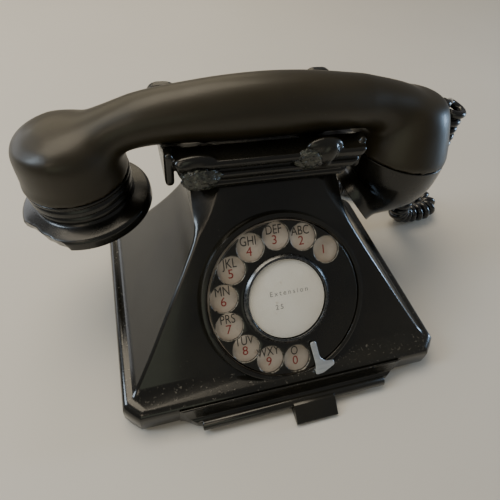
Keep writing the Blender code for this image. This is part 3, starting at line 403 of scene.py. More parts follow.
NICKEL = metal("dark_nickel", (0.07, 0.075, 0.08), (0.17, 0.17, 0.17), 0.2)

SLOT_MATERIAL = {
    "bakelite": BAKELITE, "enamel": ENAMEL, "card": PAPER, "window": WINDOW, "chrome": CHROME,
    "steel": STEEL, "brass": BRASS, "rubber": RUBBER, "cord": CORD, "phenolic": PHENOLIC,
}


def paint_nodes():
    """Gives every carried-over CAD node the detailed material of its slot."""
    for part in frame["record"]["subparts"]:
        materials = frame["nodes"][part["node"]].data.materials
        materials.clear()
        materials.append(SLOT_MATERIAL[part["material_slot"]])


# ---- mesh helpers

def to_mesh(name, bm, smooth_angle=35.0):
    bmesh.ops.recalc_face_normals(bm, faces=bm.faces)
    mesh = bpy.data.meshes.new(name)
    bm.to_mesh(mesh)
    bm.free()
    mesh.shade_smooth()
    mesh.set_sharp_from_angle(angle=math.radians(smooth_angle))
    return mesh


def piece(name, mesh, surface, body, replaced=(), place=BODY_FRAME):
    """A visible piece: its mesh is moved into the row frame, and it rides on its body."""
    mesh.transform(place)
    made = linked(name, mesh)
    mesh.materials.clear()
    mesh.materials.append(surface)
    if replaced:
        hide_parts(*replaced)
    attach(made, body)
    return made


def loft(name, rings, smooth_angle=35.0):
    """A closed skin over rings of equal length, with a face on each end."""
    bm = bmesh.new()
    rows = [[bm.verts.new(p) for p in ring] for ring in rings]
    count = len(rows[0])
    for low, high in zip(rows, rows[1:]):
        for i in range(count):
            j = (i + 1) % count
            bm.faces.new((low[i], low[j], high[j], high[i]))
    bm.faces.new(rows[0])
    bm.faces.new(rows[-1])
    return to_mesh(name, bm, smooth_angle)


def turned(name, profile, steps=96):
    """A closed profile of (radius, height) in millimetres turned about Z."""
    bm = bmesh.new()
    rows = []
    for k in range(steps):
        turn = 2 * math.pi * k / steps
        rows.append([bm.verts.new((r * MM * math.cos(turn), r * MM * math.sin(turn), z * MM))
                     for r, z in profile])
    count = len(profile)
    for k in range(steps):
        a, b = rows[k], rows[(k + 1) % steps]
        for i in range(count):
            j = (i + 1) % count
            if profile[i][0] == 0.0 and profile[j][0] == 0.0:
                continue
            bm.faces.new((a[i], a[j], b[j], b[i]))
    bmesh.ops.remove_doubles(bm, verts=bm.verts, dist=0.000001)
    return to_mesh(name, bm)


def rounded(profile, radius, steps=4):
    """The closed outline with each corner rounded, as far as its sides allow."""
    count = len(profile)
    points = []
    for i in range(count):
        before, here, after = (Vector(profile[j % count]) for j in (i - 1, i, i + 1))
        to_before, to_after = before - here, after - here
        if to_before.length < 1e-9 or to_after.length < 1e-9:
            points.append(tuple(here))
            continue
        reach = min(radius, 0.45 * to_before.length, 0.45 * to_after.length)
        start = here + to_before.normalized() * reach
        end = here + to_after.normalized() * reach
        for k in range(steps + 1):
            t = k / steps
            points.append(tuple((1 - t) ** 2 * start + 2 * t * (1 - t) * here + t ** 2 * end))
    return points


def arc(centre, radius, start, end, count):
    """Points on an arc between two angles in degrees."""
    turn = [math.radians(start + (end - start) * i / (count - 1)) for i in range(count)]
    return [(centre[0] + radius * math.cos(a), centre[1] + radius * math.sin(a)) for a in turn]


def curve_through(points, value):
    """Catmull-Rom value of rows of numbers at a place counted in rows."""
    last = len(points) - 1
    i = min(max(int(value), 0), last - 1)
    t = value - i
    a, b, c, d = (points[min(max(j, 0), last)] for j in (i - 1, i, i + 1, i + 2))
    return [0.5 * (2 * q + (r - p) * t + (2 * p - 5 * q + 4 * r - s) * t * t
                   + (3 * q - 3 * r + s - p) * t ** 3)
            for p, q, r, s in zip(a, b, c, d)]


# ---- cord

WIRE_R = 2.3 * MM
COIL_OUTER_R = 7.4 * MM
PITCH = 5.3 * MM
TURN_POINTS = 20

# The route, in millimetres: out of the sleeve, down behind the handset, round on the table, into the back.
HANDSET_TAIL = ((102.7, 45.4, 103.4), (107.4, 46.2, 104.0), (112.8, 47.4, 104.6))
COIL_ROUTE = (
    (124.2, 50.2, 104.2), (122.4, 49.8, 97.8), (120.9, 49.4, 91.0), (121.4, 49.2, 82.0),
    (122.6, 49.6, 68.0), (122.4, 50.2, 50.0), (120.4, 50.8, 34.0), (119.6, 51.8, 21.0),
    (123.0, 53.2, 11.6), (131.0, 54.0, 8.0), (142.0, 54.0, 8.0), (150.4, 56.6, 8.0),
    (153.3, 63.0, 8.0), (149.6, 69.6, 8.0), (141.0, 72.4, 8.0), (130.0, 74.0, 8.0),
    (119.0, 78.0, 8.0), (107.0, 85.0, 8.0), (95.0, 92.0, 8.0), (81.0, 98.6, 8.0),
    (66.0, 101.8, 8.0), (52.0, 100.6, 8.0),
)
BASE_TAIL = ((45.0, 98.0, 8.0), (38.4, 93.0, 8.0), (34.6, 86.6, 8.0), (34.0, 78.0, 7.8), (34.0, 74.0, 7.8))
# The coil's first and last points, and how many at each end are evened out with the straight tail.
COIL_START = 13
COIL_END = -6
JOIN = 3


def evenly(points, spacing):
    """Points at an even spacing on a smooth curve through the given ones."""
    rows = [tuple(p) for p in points]
    dense = [Vector(curve_through(rows, k / 40)) for k in range(40 * (len(rows) - 1) + 1)]
    length = sum((q - p).length for p, q in zip(dense, dense[1:]))
    count = max(2, round(length / spacing))
    made = [dense[0]]
    run = 0.0
    for p, q in zip(dense, dense[1:]):
        step = (q - p).length
        while len(made) < count and run + step >= length * len(made) / count:
            made.append(p.lerp(q, (length * len(made) / count - run) / step))
        run += step
    made.append(dense[-1])
    return made


def carried_frames(points):
    """Two axes square to the line at each point, carried along it without twisting."""
    ahead = [(points[min(i + 1, len(points) - 1)] - points[max(i - 1, 0)]).normalized()
             for i in range(len(points))]
    side = ahead[0].cross(Vector((0.0, 1.0, 0.0))).normalized()
    frames = []
    for direction in ahead:
        side = (side - direction * side.dot(direction)).normalized()
        frames.append((side, direction.cross(side)))
    return frames


def helix_line():
    """The coil's centre line: even turns about the smooth route."""
    step = PITCH / TURN_POINTS
    middle = evenly([Vector(p) * MM for p in COIL_ROUTE], step)
    frames = carried_frames(middle)
    radius = COIL_OUTER_R - WIRE_R
    line = []
    for k, (centre, (side, up)) in enumerate(zip(middle, frames)):
        turn = 2 * math.pi * k / TURN_POINTS
        line.append(centre + (side * math.cos(turn) + up * math.sin(turn)) * radius)
    return line


def tube_mesh(name, line, radius, sides=12):
    """A closed round tube along a line."""
    frames = carried_frames(line)
    rings = []
    for centre, (side, up) in zip(line, frames):
        rings.append([centre + (side * math.cos(a) + up * math.sin(a)) * radius
                      for a in (2 * math.pi * k / sides for k in range(sides))])
    return loft(name, rings, 60.0)


def cord():
    """One cord from the handset's sleeve, down its coils and round to the gland in the back."""
    coil = helix_line()
    head = [Vector(p) * MM for p in HANDSET_TAIL]
    tail = [Vector(p) * MM for p in BASE_TAIL]
    first, last = COIL_START + JOIN, COIL_END - JOIN
    lead_in = evenly(head + coil[COIL_START:first], 1.0 * MM)[:-1]
    lead_out = evenly(coil[last:COIL_END] + tail, 1.0 * MM)[1:]
    line = lead_in + coil[first:last] + lead_out
    mesh = tube_mesh("curly_cord_wire", line, WIRE_R)
    mesh.transform(BODY_FRAME)
    made = linked("curly_cord_wire", mesh)
    mesh.materials.append(CORD)
    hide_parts("curly_cord", "cord_tail_handset", "cord_tail_base")
    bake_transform(made)


# ---- shaping

def temporary(mesh, place=None):
    made = linked(mesh.name + "_tool", mesh)
    if place is not None:
        made.matrix_world = place
    return made


def evaluated(name, *objects):
    """The first object's mesh with its modifiers applied; all the objects are removed."""
    bpy.context.view_layer.update()
    graph = bpy.context.evaluated_depsgraph_get()
    result = bpy.data.meshes.new_from_object(objects[0].evaluated_get(graph))
    result.name = name
    for old in objects:
        bpy.data.objects.remove(old, do_unlink=True)
    return result


def shaped(name, mesh, *cuts, voxel=0.0, smooth=0, bevel=0.0, angle=35.0):
    """The mesh after its cuts and joins, then rounded by a fine remesh or by small bevels."""
    work = temporary(mesh)
    tools = []
    for operation, tool, place in cuts:
        tools.append(temporary(tool, place))
        change = work.modifiers.new("change", "BOOLEAN")
        change.operation = operation
        change.object = tools[-1]
        change.solver = "EXACT"
    if bevel > 0.0:
        edge = work.modifiers.new("bevel", "BEVEL")
        edge.width = bevel
        edge.segments = 3
        edge.limit_method = "ANGLE"
        edge.angle_limit = math.radians(angle)
    if voxel > 0.0:
        grid = work.modifiers.new("grid", "REMESH")
        grid.mode = "VOXEL"
        grid.voxel_size = voxel
    if smooth:
        soft = work.modifiers.new("soft", "SMOOTH")
        soft.factor = 0.5
        soft.iterations = smooth
    result = evaluated(name, work, *tools)
    result.shade_smooth()
    if voxel <= 0.0:
        result.set_sharp_from_angle(angle=math.radians(angle))
    return result


def melted(mesh, spots, turns):
    """The mesh with its creases melted into broad fillets near each spot (centre, reach, fade)."""
    work = temporary(mesh)
    group = work.vertex_groups.new(name="melt")
    for v in mesh.vertices:
        share = 0.0
        for centre, reach, fade in spots:
            away = max(abs(v.co[i] / MM - centre[i]) - reach[i] for i in range(3))
            share = max(share, min(1.0, max(0.0, 1.0 - away / fade)))
        if share > 0.0:
            group.add([v.index], share, "REPLACE")
    soft = work.modifiers.new("melt", "SMOOTH")
    soft.factor = 0.5
    soft.iterations = turns
    soft.vertex_group = "melt"
    result = evaluated(mesh.name, work)
    result.shade_smooth()
    return result


def box(name, low, high):
    """A block between two corners in millimetres."""
    bm = bmesh.new()
    bmesh.ops.create_cube(bm, size=1.0)
    bmesh.ops.scale(bm, vec=[(b - a) * MM for a, b in zip(low, high)], verts=bm.verts)
    bmesh.ops.translate(bm, vec=[(a + b) / 2 * MM for a, b in zip(low, high)], verts=bm.verts)
    return to_mesh(name, bm)


def solid(name, profile, steps=64, centre=(0.0, 0.0, 0.0), soften=0.0):
    """A turned solid from an open profile in millimetres, closed to the axis at both ends."""
    inner = list(profile)
    if soften > 0.0:
        corner = 5
        inner = [profile[0]] + rounded(inner, soften, corner - 1)[corner:-corner] + [profile[-1]]
    mesh = turned(name, [(0.0, profile[0][1])] + inner + [(0.0, profile[-1][1])], steps)
    mesh.transform(moved(*centre))
    return mesh


def outline_solid(name, outline, thickness, edge=0.0):
    """A flat plate from a closed outline in millimetres, with a rounded edge."""
    curve = bpy.data.curves.new(name, "CURVE")
    curve.dimensions = "2D"
    curve.fill_mode = "BOTH"
    curve.extrude = (thickness / 2 - edge) * MM
    curve.bevel_depth = edge * MM
    curve.bevel_resolution = 2
    curve.offset = -edge * MM
    spline = curve.splines.new("POLY")
    spline.points.add(len(outline) - 1)
    for point, (x, y) in zip(spline.points, outline):
        point.co = (x * MM, y * MM, 0.0, 1.0)
    spline.use_cyclic_u = True
    return curve_mesh(name, curve)


def curve_mesh(name, curve):
    """A clean mesh of a curve or a text."""
    mesh = evaluated(name, linked(name, curve))
    bm = bmesh.new()
    bm.from_mesh(mesh)
    bmesh.ops.remove_doubles(bm, verts=bm.verts, dist=0.0000005)
    bpy.data.meshes.remove(mesh)
    return to_mesh(name, bm)


def lettering(name, words, size, thickness=0.03, bold=0.0, spacing=1.0):
    """Plain letters lying in the XY plane, centred on the origin, sizes in millimetres."""
    font = bpy.data.curves.new(name, "FONT")
    font.body = words
    font.size = size * MM
    font.align_x = "CENTER"
    font.align_y = "CENTER"
    font.extrude = thickness * MM
    font.offset = bold * MM
    font.space_character = spacing
    font.resolution_u = 4
    return curve_mesh(name, font)


# ---- case

WALL = 3.0
SKIRT_HALF_WIDTH = 87.3
SKIRT_FRONT = -57.0
SKIRT_BACK = 73.0
SKIRT_CORNER = 7.5
NECK_TOP = 86.0
# Height, half-width at the front and at the side, back, front corner and back corner cuts.
PYRAMID = (
    (17.6, 77.6, 79.6, 68.4, 2.2, 3.0),
    (28.0, 69.0, 71.0, 62.6, 2.2, 3.0),
    (44.0, 56.6, 58.6, 55.6, 2.2, 3.0),
    (57.0, 46.6, 48.6, 51.4, 2.2, 3.0),
    (68.0, 38.2, 41.2, 49.6, 3.0, 3.4),
    (77.0, 30.6, 40.0, 49.0, 7.6, 5.4),
    (86.0, 24.6, 39.6, 49.0, 11.0, 7.6),
)
# Height and inset of the skirt's levels, with its rounded top edge.
SKIRT = ((1.5, 0.6), (1.9, 0.2), (2.5, 0.0), (9.0, 0.0), (12.0, 0.15), (13.4, 0.5), (14.4, 1.1),
         (15.1, 2.0), (15.5, 3.0), (15.6, 3.8))
SCREWS = [(x, y) for y in (-44.0, 60.0) for x in (-79.0, 79.0)]
GLAND_X = 34.0
GLAND_Z = 7.8


def panel_y(z):
    """Where the sloping panel is at a height: it lies behind the dial's face."""
    behind = 6.0
    foot_y = DIAL_Y + behind * math.cos(PANEL_LEAN)
    foot_z = DIAL_Z - behind * math.sin(PANEL_LEAN)
    return foot_y + (z - foot_z) * math.tan(PANEL_LEAN)


def case_ring(z, front, back, half_front, half_side, front_cut, back_cut, inset=0.0, steps=9):
    """One level of the case in metres, its corners curved or, high up, nearly flat."""
    half_front, half_side = half_front - inset, half_side - inset
    front, back = front + inset, back - inset
    flatness = min(1.0, max(0.0, (half_side - half_front - 2.5) / 3.5))
    full = 0.85
    corners = (((-half_front, front), (-half_side, front + front_cut), (-half_side, front),
                full - 0.77 * flatness),
               ((-half_side, back - back_cut), (-half_side + back_cut, back), (-half_side, back), full))
    points = []
    for start, end, corner, pull in corners:
        middle = ((start[0] + end[0]) / 2, (start[1] + end[1]) / 2)
        knee = [m + (c - m) * pull for m, c in zip(middle, corner)]
        for i in range(steps + 1):
            t = i / steps
            points.append([(1 - t) ** 2 * s + 2 * t * (1 - t) * k + t ** 2 * e
                           for s, k, e in zip(start, knee, end)])
    points += [(-x, y) for x, y in reversed(points)]
    return [(x * MM, y * MM, z * MM) for x, y in points]


def case_levels(inset=0.0, top=NECK_TOP, steps=5):
    rings = []
    for k in range(steps * (len(PYRAMID) - 1) + 1):
        z, half_front, half_side, back, front_cut, back_cut = curve_through(PYRAMID, k / steps)
        height = min(z, top)
        rings.append(case_ring(height, panel_y(height), back, half_front, half_side, front_cut, back_cut,
                               inset))
        if z >= top:
            break
    return rings


def skirt_ring(z, inset):
    return case_ring(z, SKIRT_FRONT, SKIRT_BACK, SKIRT_HALF_WIDTH - SKIRT_CORNER, SKIRT_HALF_WIDTH,
                     SKIRT_CORNER, SKIRT_CORNER, inset)


def body_case():
    """The hollow case with its dial collar, screw bosses and openings."""
    skirt = [skirt_ring(z, inset) for z, inset in SKIRT]
    foot = case_ring(15.9, panel_y(15.6) - 1.6, 70.4, 79.6, 81.6, 3.0, 4.0)
    outer = loft("case_outer", skirt + [foot] + case_levels())
    hollow = loft("case_hollow", [skirt_ring(-2.0, WALL), skirt_ring(12.4, WALL)]
                  + case_levels(3.6, NECK_TOP - WALL))
    collar = solid("collar", [(45.6, -8.7), (43.7, -1.5), (43.3, -0.9), (42.7, -0.7)], 128)
    recess = solid("recess", [(40.7, -5.3), (40.7, -1.3), (40.9, -0.9), (41.3, -0.6), (42.2, 6.0)], 128)
    opening = solid("opening", [(36.5, -30.0), (36.5, -2.0)], 96)
    changes = [("UNION", collar, DIAL_LOCAL), ("DIFFERENCE", hollow, None)]
    for x, y in SCREWS:
        changes.append(("UNION", solid("boss", [(5.6, 3.3), (5.6, 14.0)], 24, (x, y, 0.0)), None))
        changes.append(("DIFFERENCE", solid("boss_bore", [(1.7, 0.0), (1.7, 10.5)], 16, (x, y, 0.0)), None))
    changes += [("DIFFERENCE", recess, DIAL_LOCAL), ("DIFFERENCE", opening, DIAL_LOCAL),
                ("DIFFERENCE", box("drawer_slot", (-48.0, -62.0, -1.0), (48.0, -49.0, 11.4)), None)]
    for side in (-1, 1):
        hole = solid("gland_hole", [(3.9, -6.0), (3.9, 6.0)], 24)
        changes.append(("DIFFERENCE", hole, moved(side * GLAND_X, SKIRT_BACK, GLAND_Z) @ spun(90.0, "X")))
        hole = solid("plunger_hole", [(3.6, 70.0), (3.6, 90.0)], 24, (side * PLUNGER_X, HANDSET_Y, 0.0))
        changes.append(("DIFFERENCE", hole, None))
    case = shaped("moulded_case", outer, *changes, angle=28.0)
    piece("moulded_case", case, BAKELITE_CASE, BASE, ["body_case"])


# ---- cradle

def rounded_ring(z, half_x, front, back, radius, steps=8):
    """One level of the saddle in metres: a rectangle with round corners."""
    points = []
    for cx, cy, start in ((half_x, back, 0.0), (-half_x, back, 90.0), (-half_x, front, 180.0),
                          (half_x, front, 270.0)):
        centre = (cx - math.copysign(radius, cx), cy - (radius if cy == back else -radius))
        points += [(x * MM, y * MM, z * MM) for x, y in arc(centre, radius, start, start + 90.0, steps + 1)]
    return points


# Levels of the saddle: height, half-length, front, back and corner radius; the front is stepped.
SADDLE = (
    (86.3, 40.6, 18.6, 55.0, 5.0), (87.6, 41.0, 17.9, 55.8, 5.0), (88.6, 41.5, 17.6, 56.6, 5.0),
    (89.6, 41.9, 17.8, 57.2, 4.8), (90.2, 42.2, 19.4, 57.8, 4.8), (91.0, 43.0, 19.5, 58.4, 4.6),
    (91.6, 43.8, 17.6, 59.2, 4.2), (92.3, 45.0, 17.0, 60.0, 4.0), (94.8, 46.0, 16.8, 60.4, 3.6),
    (95.6, 46.3, 17.2, 60.6, 3.4), (96.0, 46.5, 18.8, 60.7, 3.4), (97.6, 47.0, 19.0, 60.9, 3.2),
    (98.2, 47.2, 17.0, 61.0, 3.0), (99.0, 47.5, 16.4, 61.1, 3.0), (101.6, 48.0, 16.2, 61.4, 3.0),
    (102.4, 47.8, 16.6, 61.2, 2.6), (102.8, 47.0, 17.4, 60.4, 2.2),
)


def lump(name, centre, size, seed):
    """The rough, glued end of a horn that broke off."""
    bm = bmesh.new()
    bmesh.ops.create_icosphere(bm, subdivisions=5, radius=1.0)
    for v in bm.verts:
        here = v.co + Vector((seed, 2.0 * seed, 3.0 * seed))
        broken = noise.fractal(here * 1.7, 0.9, 2.1, 5)
        facets = noise.cell(here * 3.1)
        spread = Vector(c * s * MM for c, s in zip(v.co, size))
        v.co = spread * (0.97 + 0.16 * broken + 0.07 * facets) + Vector(centre) * MM
    return to_mesh(name, bm)


def horn(height):
    """A rear horn as a flat upright with two round shoulders."""
    shoulder_x, shoulder_r = 2.2, 5.4
    right = arc((shoulder_x, height), shoulder_r, 0.0, 90.0, 10)
    left = arc((-shoulder_x, height), shoulder_r, 90.0, 180.0, 10)
    return outline_solid("horn", [(-9.0, 0.0), (9.0, 0.0)] + right + left, 5.2, 0.9)


# Place, half-sizes and lean in degrees of the stumps of the broken front horns.
HORN_ROOTS = (
    ((-38.0, 19.4, 102.0), (10.0, 3.0, 3.4), 0.0),
    ((25.0, 19.8, 103.4), (10.0, 3.2, 5.4), 0.0),
    ((26.6, 17.2, 100.6), (4.4, 2.4, 6.2), 28.0),
)
CHEEK_X = (-49.6, 47.0)
REAR_HORNS = ((-46.6, 15.6), (34.4, 19.4))


def cradle():
    """The saddle with its cheeks, its rear horns and the stumps of the front ones."""
    rings = [rounded_ring(*level) for level in SADDLE]
    changes = []
    for x in CHEEK_X:
        cheek = shaped("cheek", box("cheek", (-2.2, -17.0, -9.0), (2.2, 17.0, 9.0)), bevel=1.9 * MM)
        changes.append(("UNION", cheek, moved(x, 38.0, 96.2)))
    for x, height in REAR_HORNS:
        changes.append(("UNION", horn(height), moved(x, 59.0, 97.0) @ spun(84.0, "X")))
    ball = [(math.sin(a), -math.cos(a)) for a in (math.pi * k / 24 for k in range(1, 24))]
    for centre, size, lean in HORN_ROOTS:
        place = moved(*centre) @ spun(lean, "Y") @ Matrix.Diagonal((*size, 1.0))
        changes.append(("UNION", solid("horn_root", ball, 48), place))
    channel = solid("channel", [(16.5, -80.0), (16.5, 80.0)], 96)
    changes.append(("DIFFERENCE", channel, moved(0.0, HANDSET_Y, 115.8) @ spun(90.0, "Y")))
    changes.append(("DIFFERENCE", box("way", (-80.0, 23.7, 106.0), (80.0, 55.4, 140.0)), None))
    for side in (-1, 1):
        bore = solid("plunger_bore", [(3.4, 80.0), (3.4, 110.0)], 24, (side * PLUNGER_X, HANDSET_Y, 0.0))
        changes.append(("DIFFERENCE", bore, None))
    mesh = shaped("cradle_moulding", loft("saddle", rings), *changes, voxel=0.65 * MM, smooth=3)
    piece("cradle_moulding", mesh, BAKELITE_WORN, BASE, ["cradle"])
    for name, centre, size, seed in (("left_fracture", (-36.0, 16.6, 94.2), (9.6, 4.2, 5.8), 1.0),
                                     ("right_fracture", (17.4, 17.4, 99.0), (7.6, 3.2, 5.4), 2.4)):
        piece(name, lump(name, centre, size, seed), RESIN, BASE)


# ---- dial

HOLE_CIRCLE_R = 32.4
HOLE_R = 6.9
HOLE_TURNS = [math.radians(42.1 + 360.0 / 14.0 * k) for k in range(10)]
HOLE_CENTRES = [(HOLE_CIRCLE_R * math.cos(turn), HOLE_CIRCLE_R * math.sin(turn)) for turn in HOLE_TURNS]
PLATE_FACE = -3.68
STOP_FACE = 1.2
LETTERS = ("", "ABC", "DEF", "GHI", "JKL", "MN", "PRS", "TUV", "WXY", "O")


def finger_plate():
    """The disc with its ten holes, their rims rubbed by use and lightened as a painted highlight."""
    profile = rounded([(3.6, -0.1), (23.0, -0.1), (24.0, -0.3), (38.2, -0.3), (39.4, -0.1), (39.8, -0.9),
                       (39.2, -1.7), (3.6, -1.5)], 0.35)
    plate = turned("finger_plate_blank", profile, 144)
    hole = [(HOLE_R, -3.0), (HOLE_R, -0.75), (HOLE_R + 0.12, -0.48), (HOLE_R + 0.5, -0.25),
            (HOLE_R + 0.9, 1.0)]
    cuts = [("DIFFERENCE", solid("hole", hole, 48, (x, y, 0.0)), None) for x, y in HOLE_CENTRES]
    mesh = shaped("finger_disc", plate, *cuts)
    made = piece("finger_disc", mesh, BAKELITE_DIAL, "dial", ["finger_plate"], DIAL_FRAME)
    # The hole walls get a lighter material: finger wear and a painted highlight
    made.data.materials.append(RIM_WEAR_AND_PAINTED_HIGHLIGHT)
    back = DIAL_FRAME.inverted()
    for face in made.data.polygons:
        middle = back @ face.center
        flat = abs((back.to_3x3() @ face.normal).z) > 0.97
        reach = min(math.hypot(middle.x / MM - x, middle.y / MM - y) for x, y in HOLE_CENTRES)
        if reach < HOLE_R + 0.6 and not flat and middle.z > -0.8 * MM:
            face.material_index = 1


def dial_label():
    """The bezel, the card with two typed lines, and the clear window over it."""
    ring = rounded([(20.6, 2.2), (21.6, 2.2), (22.9, 0.9), (22.9, 0.2), (20.6, 0.2)], 0.3)
    bezel = turned("label_bezel", ring, 128)
    piece("label_bezel", bezel, NICKEL, "dial", ["label_ring"], DIAL_FRAME)
    card = turned("number_card", [(0.0, 0.7), (19.9, 0.7), (20.2, 0.62), (20.2, 0.3), (0.0, 0.3)], 96)
    piece("number_card", card, PAPER, "dial", ["label_card"], DIAL_FRAME)
    dome = [(0.0, 1.55), (12.0, 1.52), (19.6, 1.45), (19.9, 1.3), (19.9, 1.0), (0.0, 1.0)]
    glass = turned("card_window", dome, 96)
    piece("card_window", glass, WINDOW, "dial", ["label_window"], DIAL_FRAME)
    for name, words, x, y in (("card_line_top", "Extension", 1.2, 3.4), ("card_line_low", "25", -4.6, -3.6)):
        line = lettering(name, words, 3.6, thickness=0.02, bold=0.04, spacing=1.45)
        piece(name, line, GREY_INK, "dial", (), DIAL_FRAME @ moved(x, y, 0.72))


def dial_figures():
    """A red figure under each hole, with its narrow black letters above it."""
    narrow = Matrix.Diagonal((0.86, 1.12, 1.0, 1.0))
    for k, ((x, y), letters) in enumerate(zip(HOLE_CENTRES, LETTERS)):
        number = (k + 1) % 10
        figure = lettering("figure_%d" % number, str(number), 6.6)
        at = DIAL_FRAME @ moved(x, y - (2.4 if letters else 0.3), PLATE_FACE)
        piece(figure.name, figure, RED_INK, BASE, (), at)
        if letters:
            word = lettering("letters_%d" % number, letters, 6.0)
            at = DIAL_FRAME @ moved(x, y + 2.9, PLATE_FACE) @ narrow
            piece(word.name, word, BLACK_INK, BASE, (), at)


def finger_stop():
    """The bent plated strip, with the leg that goes down beside the disc."""
    blade = [(9.2, -25.0), (12.4, -24.6), (13.8, -33.6), (16.6, -36.4), (21.4, -36.6), (21.8, -39.2),
             (18.6, -40.6), (15.4, -42.4), (10.6, -42.8), (11.2, -37.4)]
    strip = outline_solid("stop_strip", rounded(blade, 1.6, 5), 1.0, 0.22)
    strip.transform(moved(0.0, 0.0, STOP_FACE))
    leg = shaped("stop_leg", box("stop_leg", (-2.4, -0.8, -1.6), (2.4, 0.8, 0.3)), bevel=0.2 * MM)
    place = moved(0.0, 0.0, STOP_FACE) @ spun(-72.0, "Z") @ moved(42.2, 0.0, 0.0) @ spun(90.0, "Z")
    mesh = shaped("plated_stop", strip, ("UNION", leg, place))
    piece("plated_stop", mesh, CHROME, BASE, ["finger_stop"], DIAL_FRAME)


# ---- handset

# The handle's stations: X, height of the middle, half-height and half-width.
HANDLE = (
    (-86.0, 101.6, 12.2, 18.0), (-77.0, 106.4, 10.6, 15.4), (-67.0, 110.4, 10.6, 13.4),
    (-54.0, 113.0, 11.6, 13.4), (-38.0, 114.2, 13.0, 14.2), (-20.0, 115.0, 14.4, 14.8),
    (0.0, 115.6, 15.0, 15.0), (20.0, 115.6, 14.6, 14.8), (38.0, 115.0, 13.6, 14.2),
    (54.0, 113.8, 13.0, 13.4), (66.0, 111.2, 13.2, 13.8), (76.0, 107.8, 13.6, 15.6),
    (84.0, 104.4, 13.0, 16.6), (90.0, 101.6, 12.0, 15.0),
)
# The mouthpiece's circles: X, height, radius and tilt in degrees.
MOUTHPIECE = (
    (82.8, 85.5, 29.0, 5.8), (82.6, 78.5, 29.2, 7.0), (81.6, 71.0, 28.8, 13.0), (78.8, 64.0, 26.6, 25.0),
    (74.6, 58.8, 23.0, 38.0), (70.4, 55.6, 20.6, 46.0), (67.0, 53.4, 19.4, 49.5), (63.4, 50.0, 19.8, 50.0),
)
SLEEVE_LOCAL = (moved(104.2, 45.7, 103.6)
                @ Euler((0.0, math.radians(84.0), math.radians(10.0))).to_matrix().to_4x4())


def handle():
    """The grip: ellipses square to its arch."""
    rings = []
    between, sides = 6, 72
    for k in range(between * (len(HANDLE) - 1) + 1):
        x, z, tall, wide = curve_through(HANDLE, k / between)
        before = curve_through(HANDLE, max(0.0, k / between - 0.1))
        after = curve_through(HANDLE, min(len(HANDLE) - 1.0, k / between + 0.1))
        lean = math.atan2(after[1] - before[1], after[0] - before[0])
        ring = []
        for j in range(sides):
            turn = 2 * math.pi * j / sides
            up = tall * math.sin(turn)
            ring.append(((x - up * math.sin(lean)) * MM, (HANDSET_Y + wide * math.cos(turn)) * MM,
                         (z + up * math.cos(lean)) * MM))
        rings.append(ring)
    return loft("handle", rings)


def handset_body():
    """The handle with both cups in one moulding, hollow where the capsules sit."""
    cup = [(25.0, 21.3), (25.0, 23.0), (24.2, 26.0), (23.6, 33.0), (23.0, 38.4), (21.2, 42.0), (16.6, 44.8),
           (9.6, 46.6), (3.0, 47.2), (0.5, 47.2)]
    receiver = solid("receiver_cup", cup, 128, soften=2.0)
    cup = [(29.0, 0.3), (28.8, 3.0), (26.6, 8.8), (23.8, 14.8), (21.0, 20.6), (18.4, 25.6), (15.4, 29.2),
           (12.0, 31.2), (8.0, 32.0), (3.0, 32.2), (0.5, 32.2)]
    transmitter = solid("transmitter_cup", cup, 128, soften=3.0)
    well = [(25.8, -4.0), (25.6, 3.0), (23.2, 9.0), (20.4, 14.6), (17.0, 18.0)]
    changes = [
        ("UNION", receiver, EAR_LOCAL), ("UNION", transmitter, MOUTH_LOCAL),
        ("DIFFERENCE", solid("receiver_well", [(22.0, 15.0), (22.0, 31.0), (19.0, 36.0)], 64), EAR_LOCAL),
        ("DIFFERENCE", solid("transmitter_well", well, 64), MOUTH_LOCAL),
        ("DIFFERENCE", solid("sleeve_bore", [(4.3, -9.0), (4.3, 2.0)], 32), SLEEVE_LOCAL),
        ("DIFFERENCE", solid("sleeve_seat", [(5.8, 0.0), (5.8, 12.0)], 32), SLEEVE_LOCAL),
    ]
    mesh = shaped("handset_moulding", handle(), *changes, voxel=0.85 * MM, smooth=4)
    fillets = [((-81.0, HANDSET_Y, 112.0), (9.0, 30.0, 14.0), 9.0),
               ((76.0, HANDSET_Y, 113.0), (16.0, 30.0, 14.0), 9.0)]
    mesh = melted(mesh, fillets, 220)
    piece("handset_moulding", mesh, BAKELITE_HANDLED_PAINTED_SHEEN, "handset", ["handset_shell"])


# Where the chip is on the rim, how deep its edge lies and how far round it can go, in radians.
CHIP_AT = math.radians(222.0)
CHIP_DEPTH = 27.3
CHIP_REACH = 1.0


def chip_limit(turn, z):
    """The radius that is left at a turn from the chip's middle: a wavering chord."""
    wander = 0.5 * math.sin(9.0 * turn + 0.6) + 0.22 * math.sin(23.0 * turn + 1.0)
    return (CHIP_DEPTH + wander + 0.25 * z) / max(0.3, math.cos(turn))


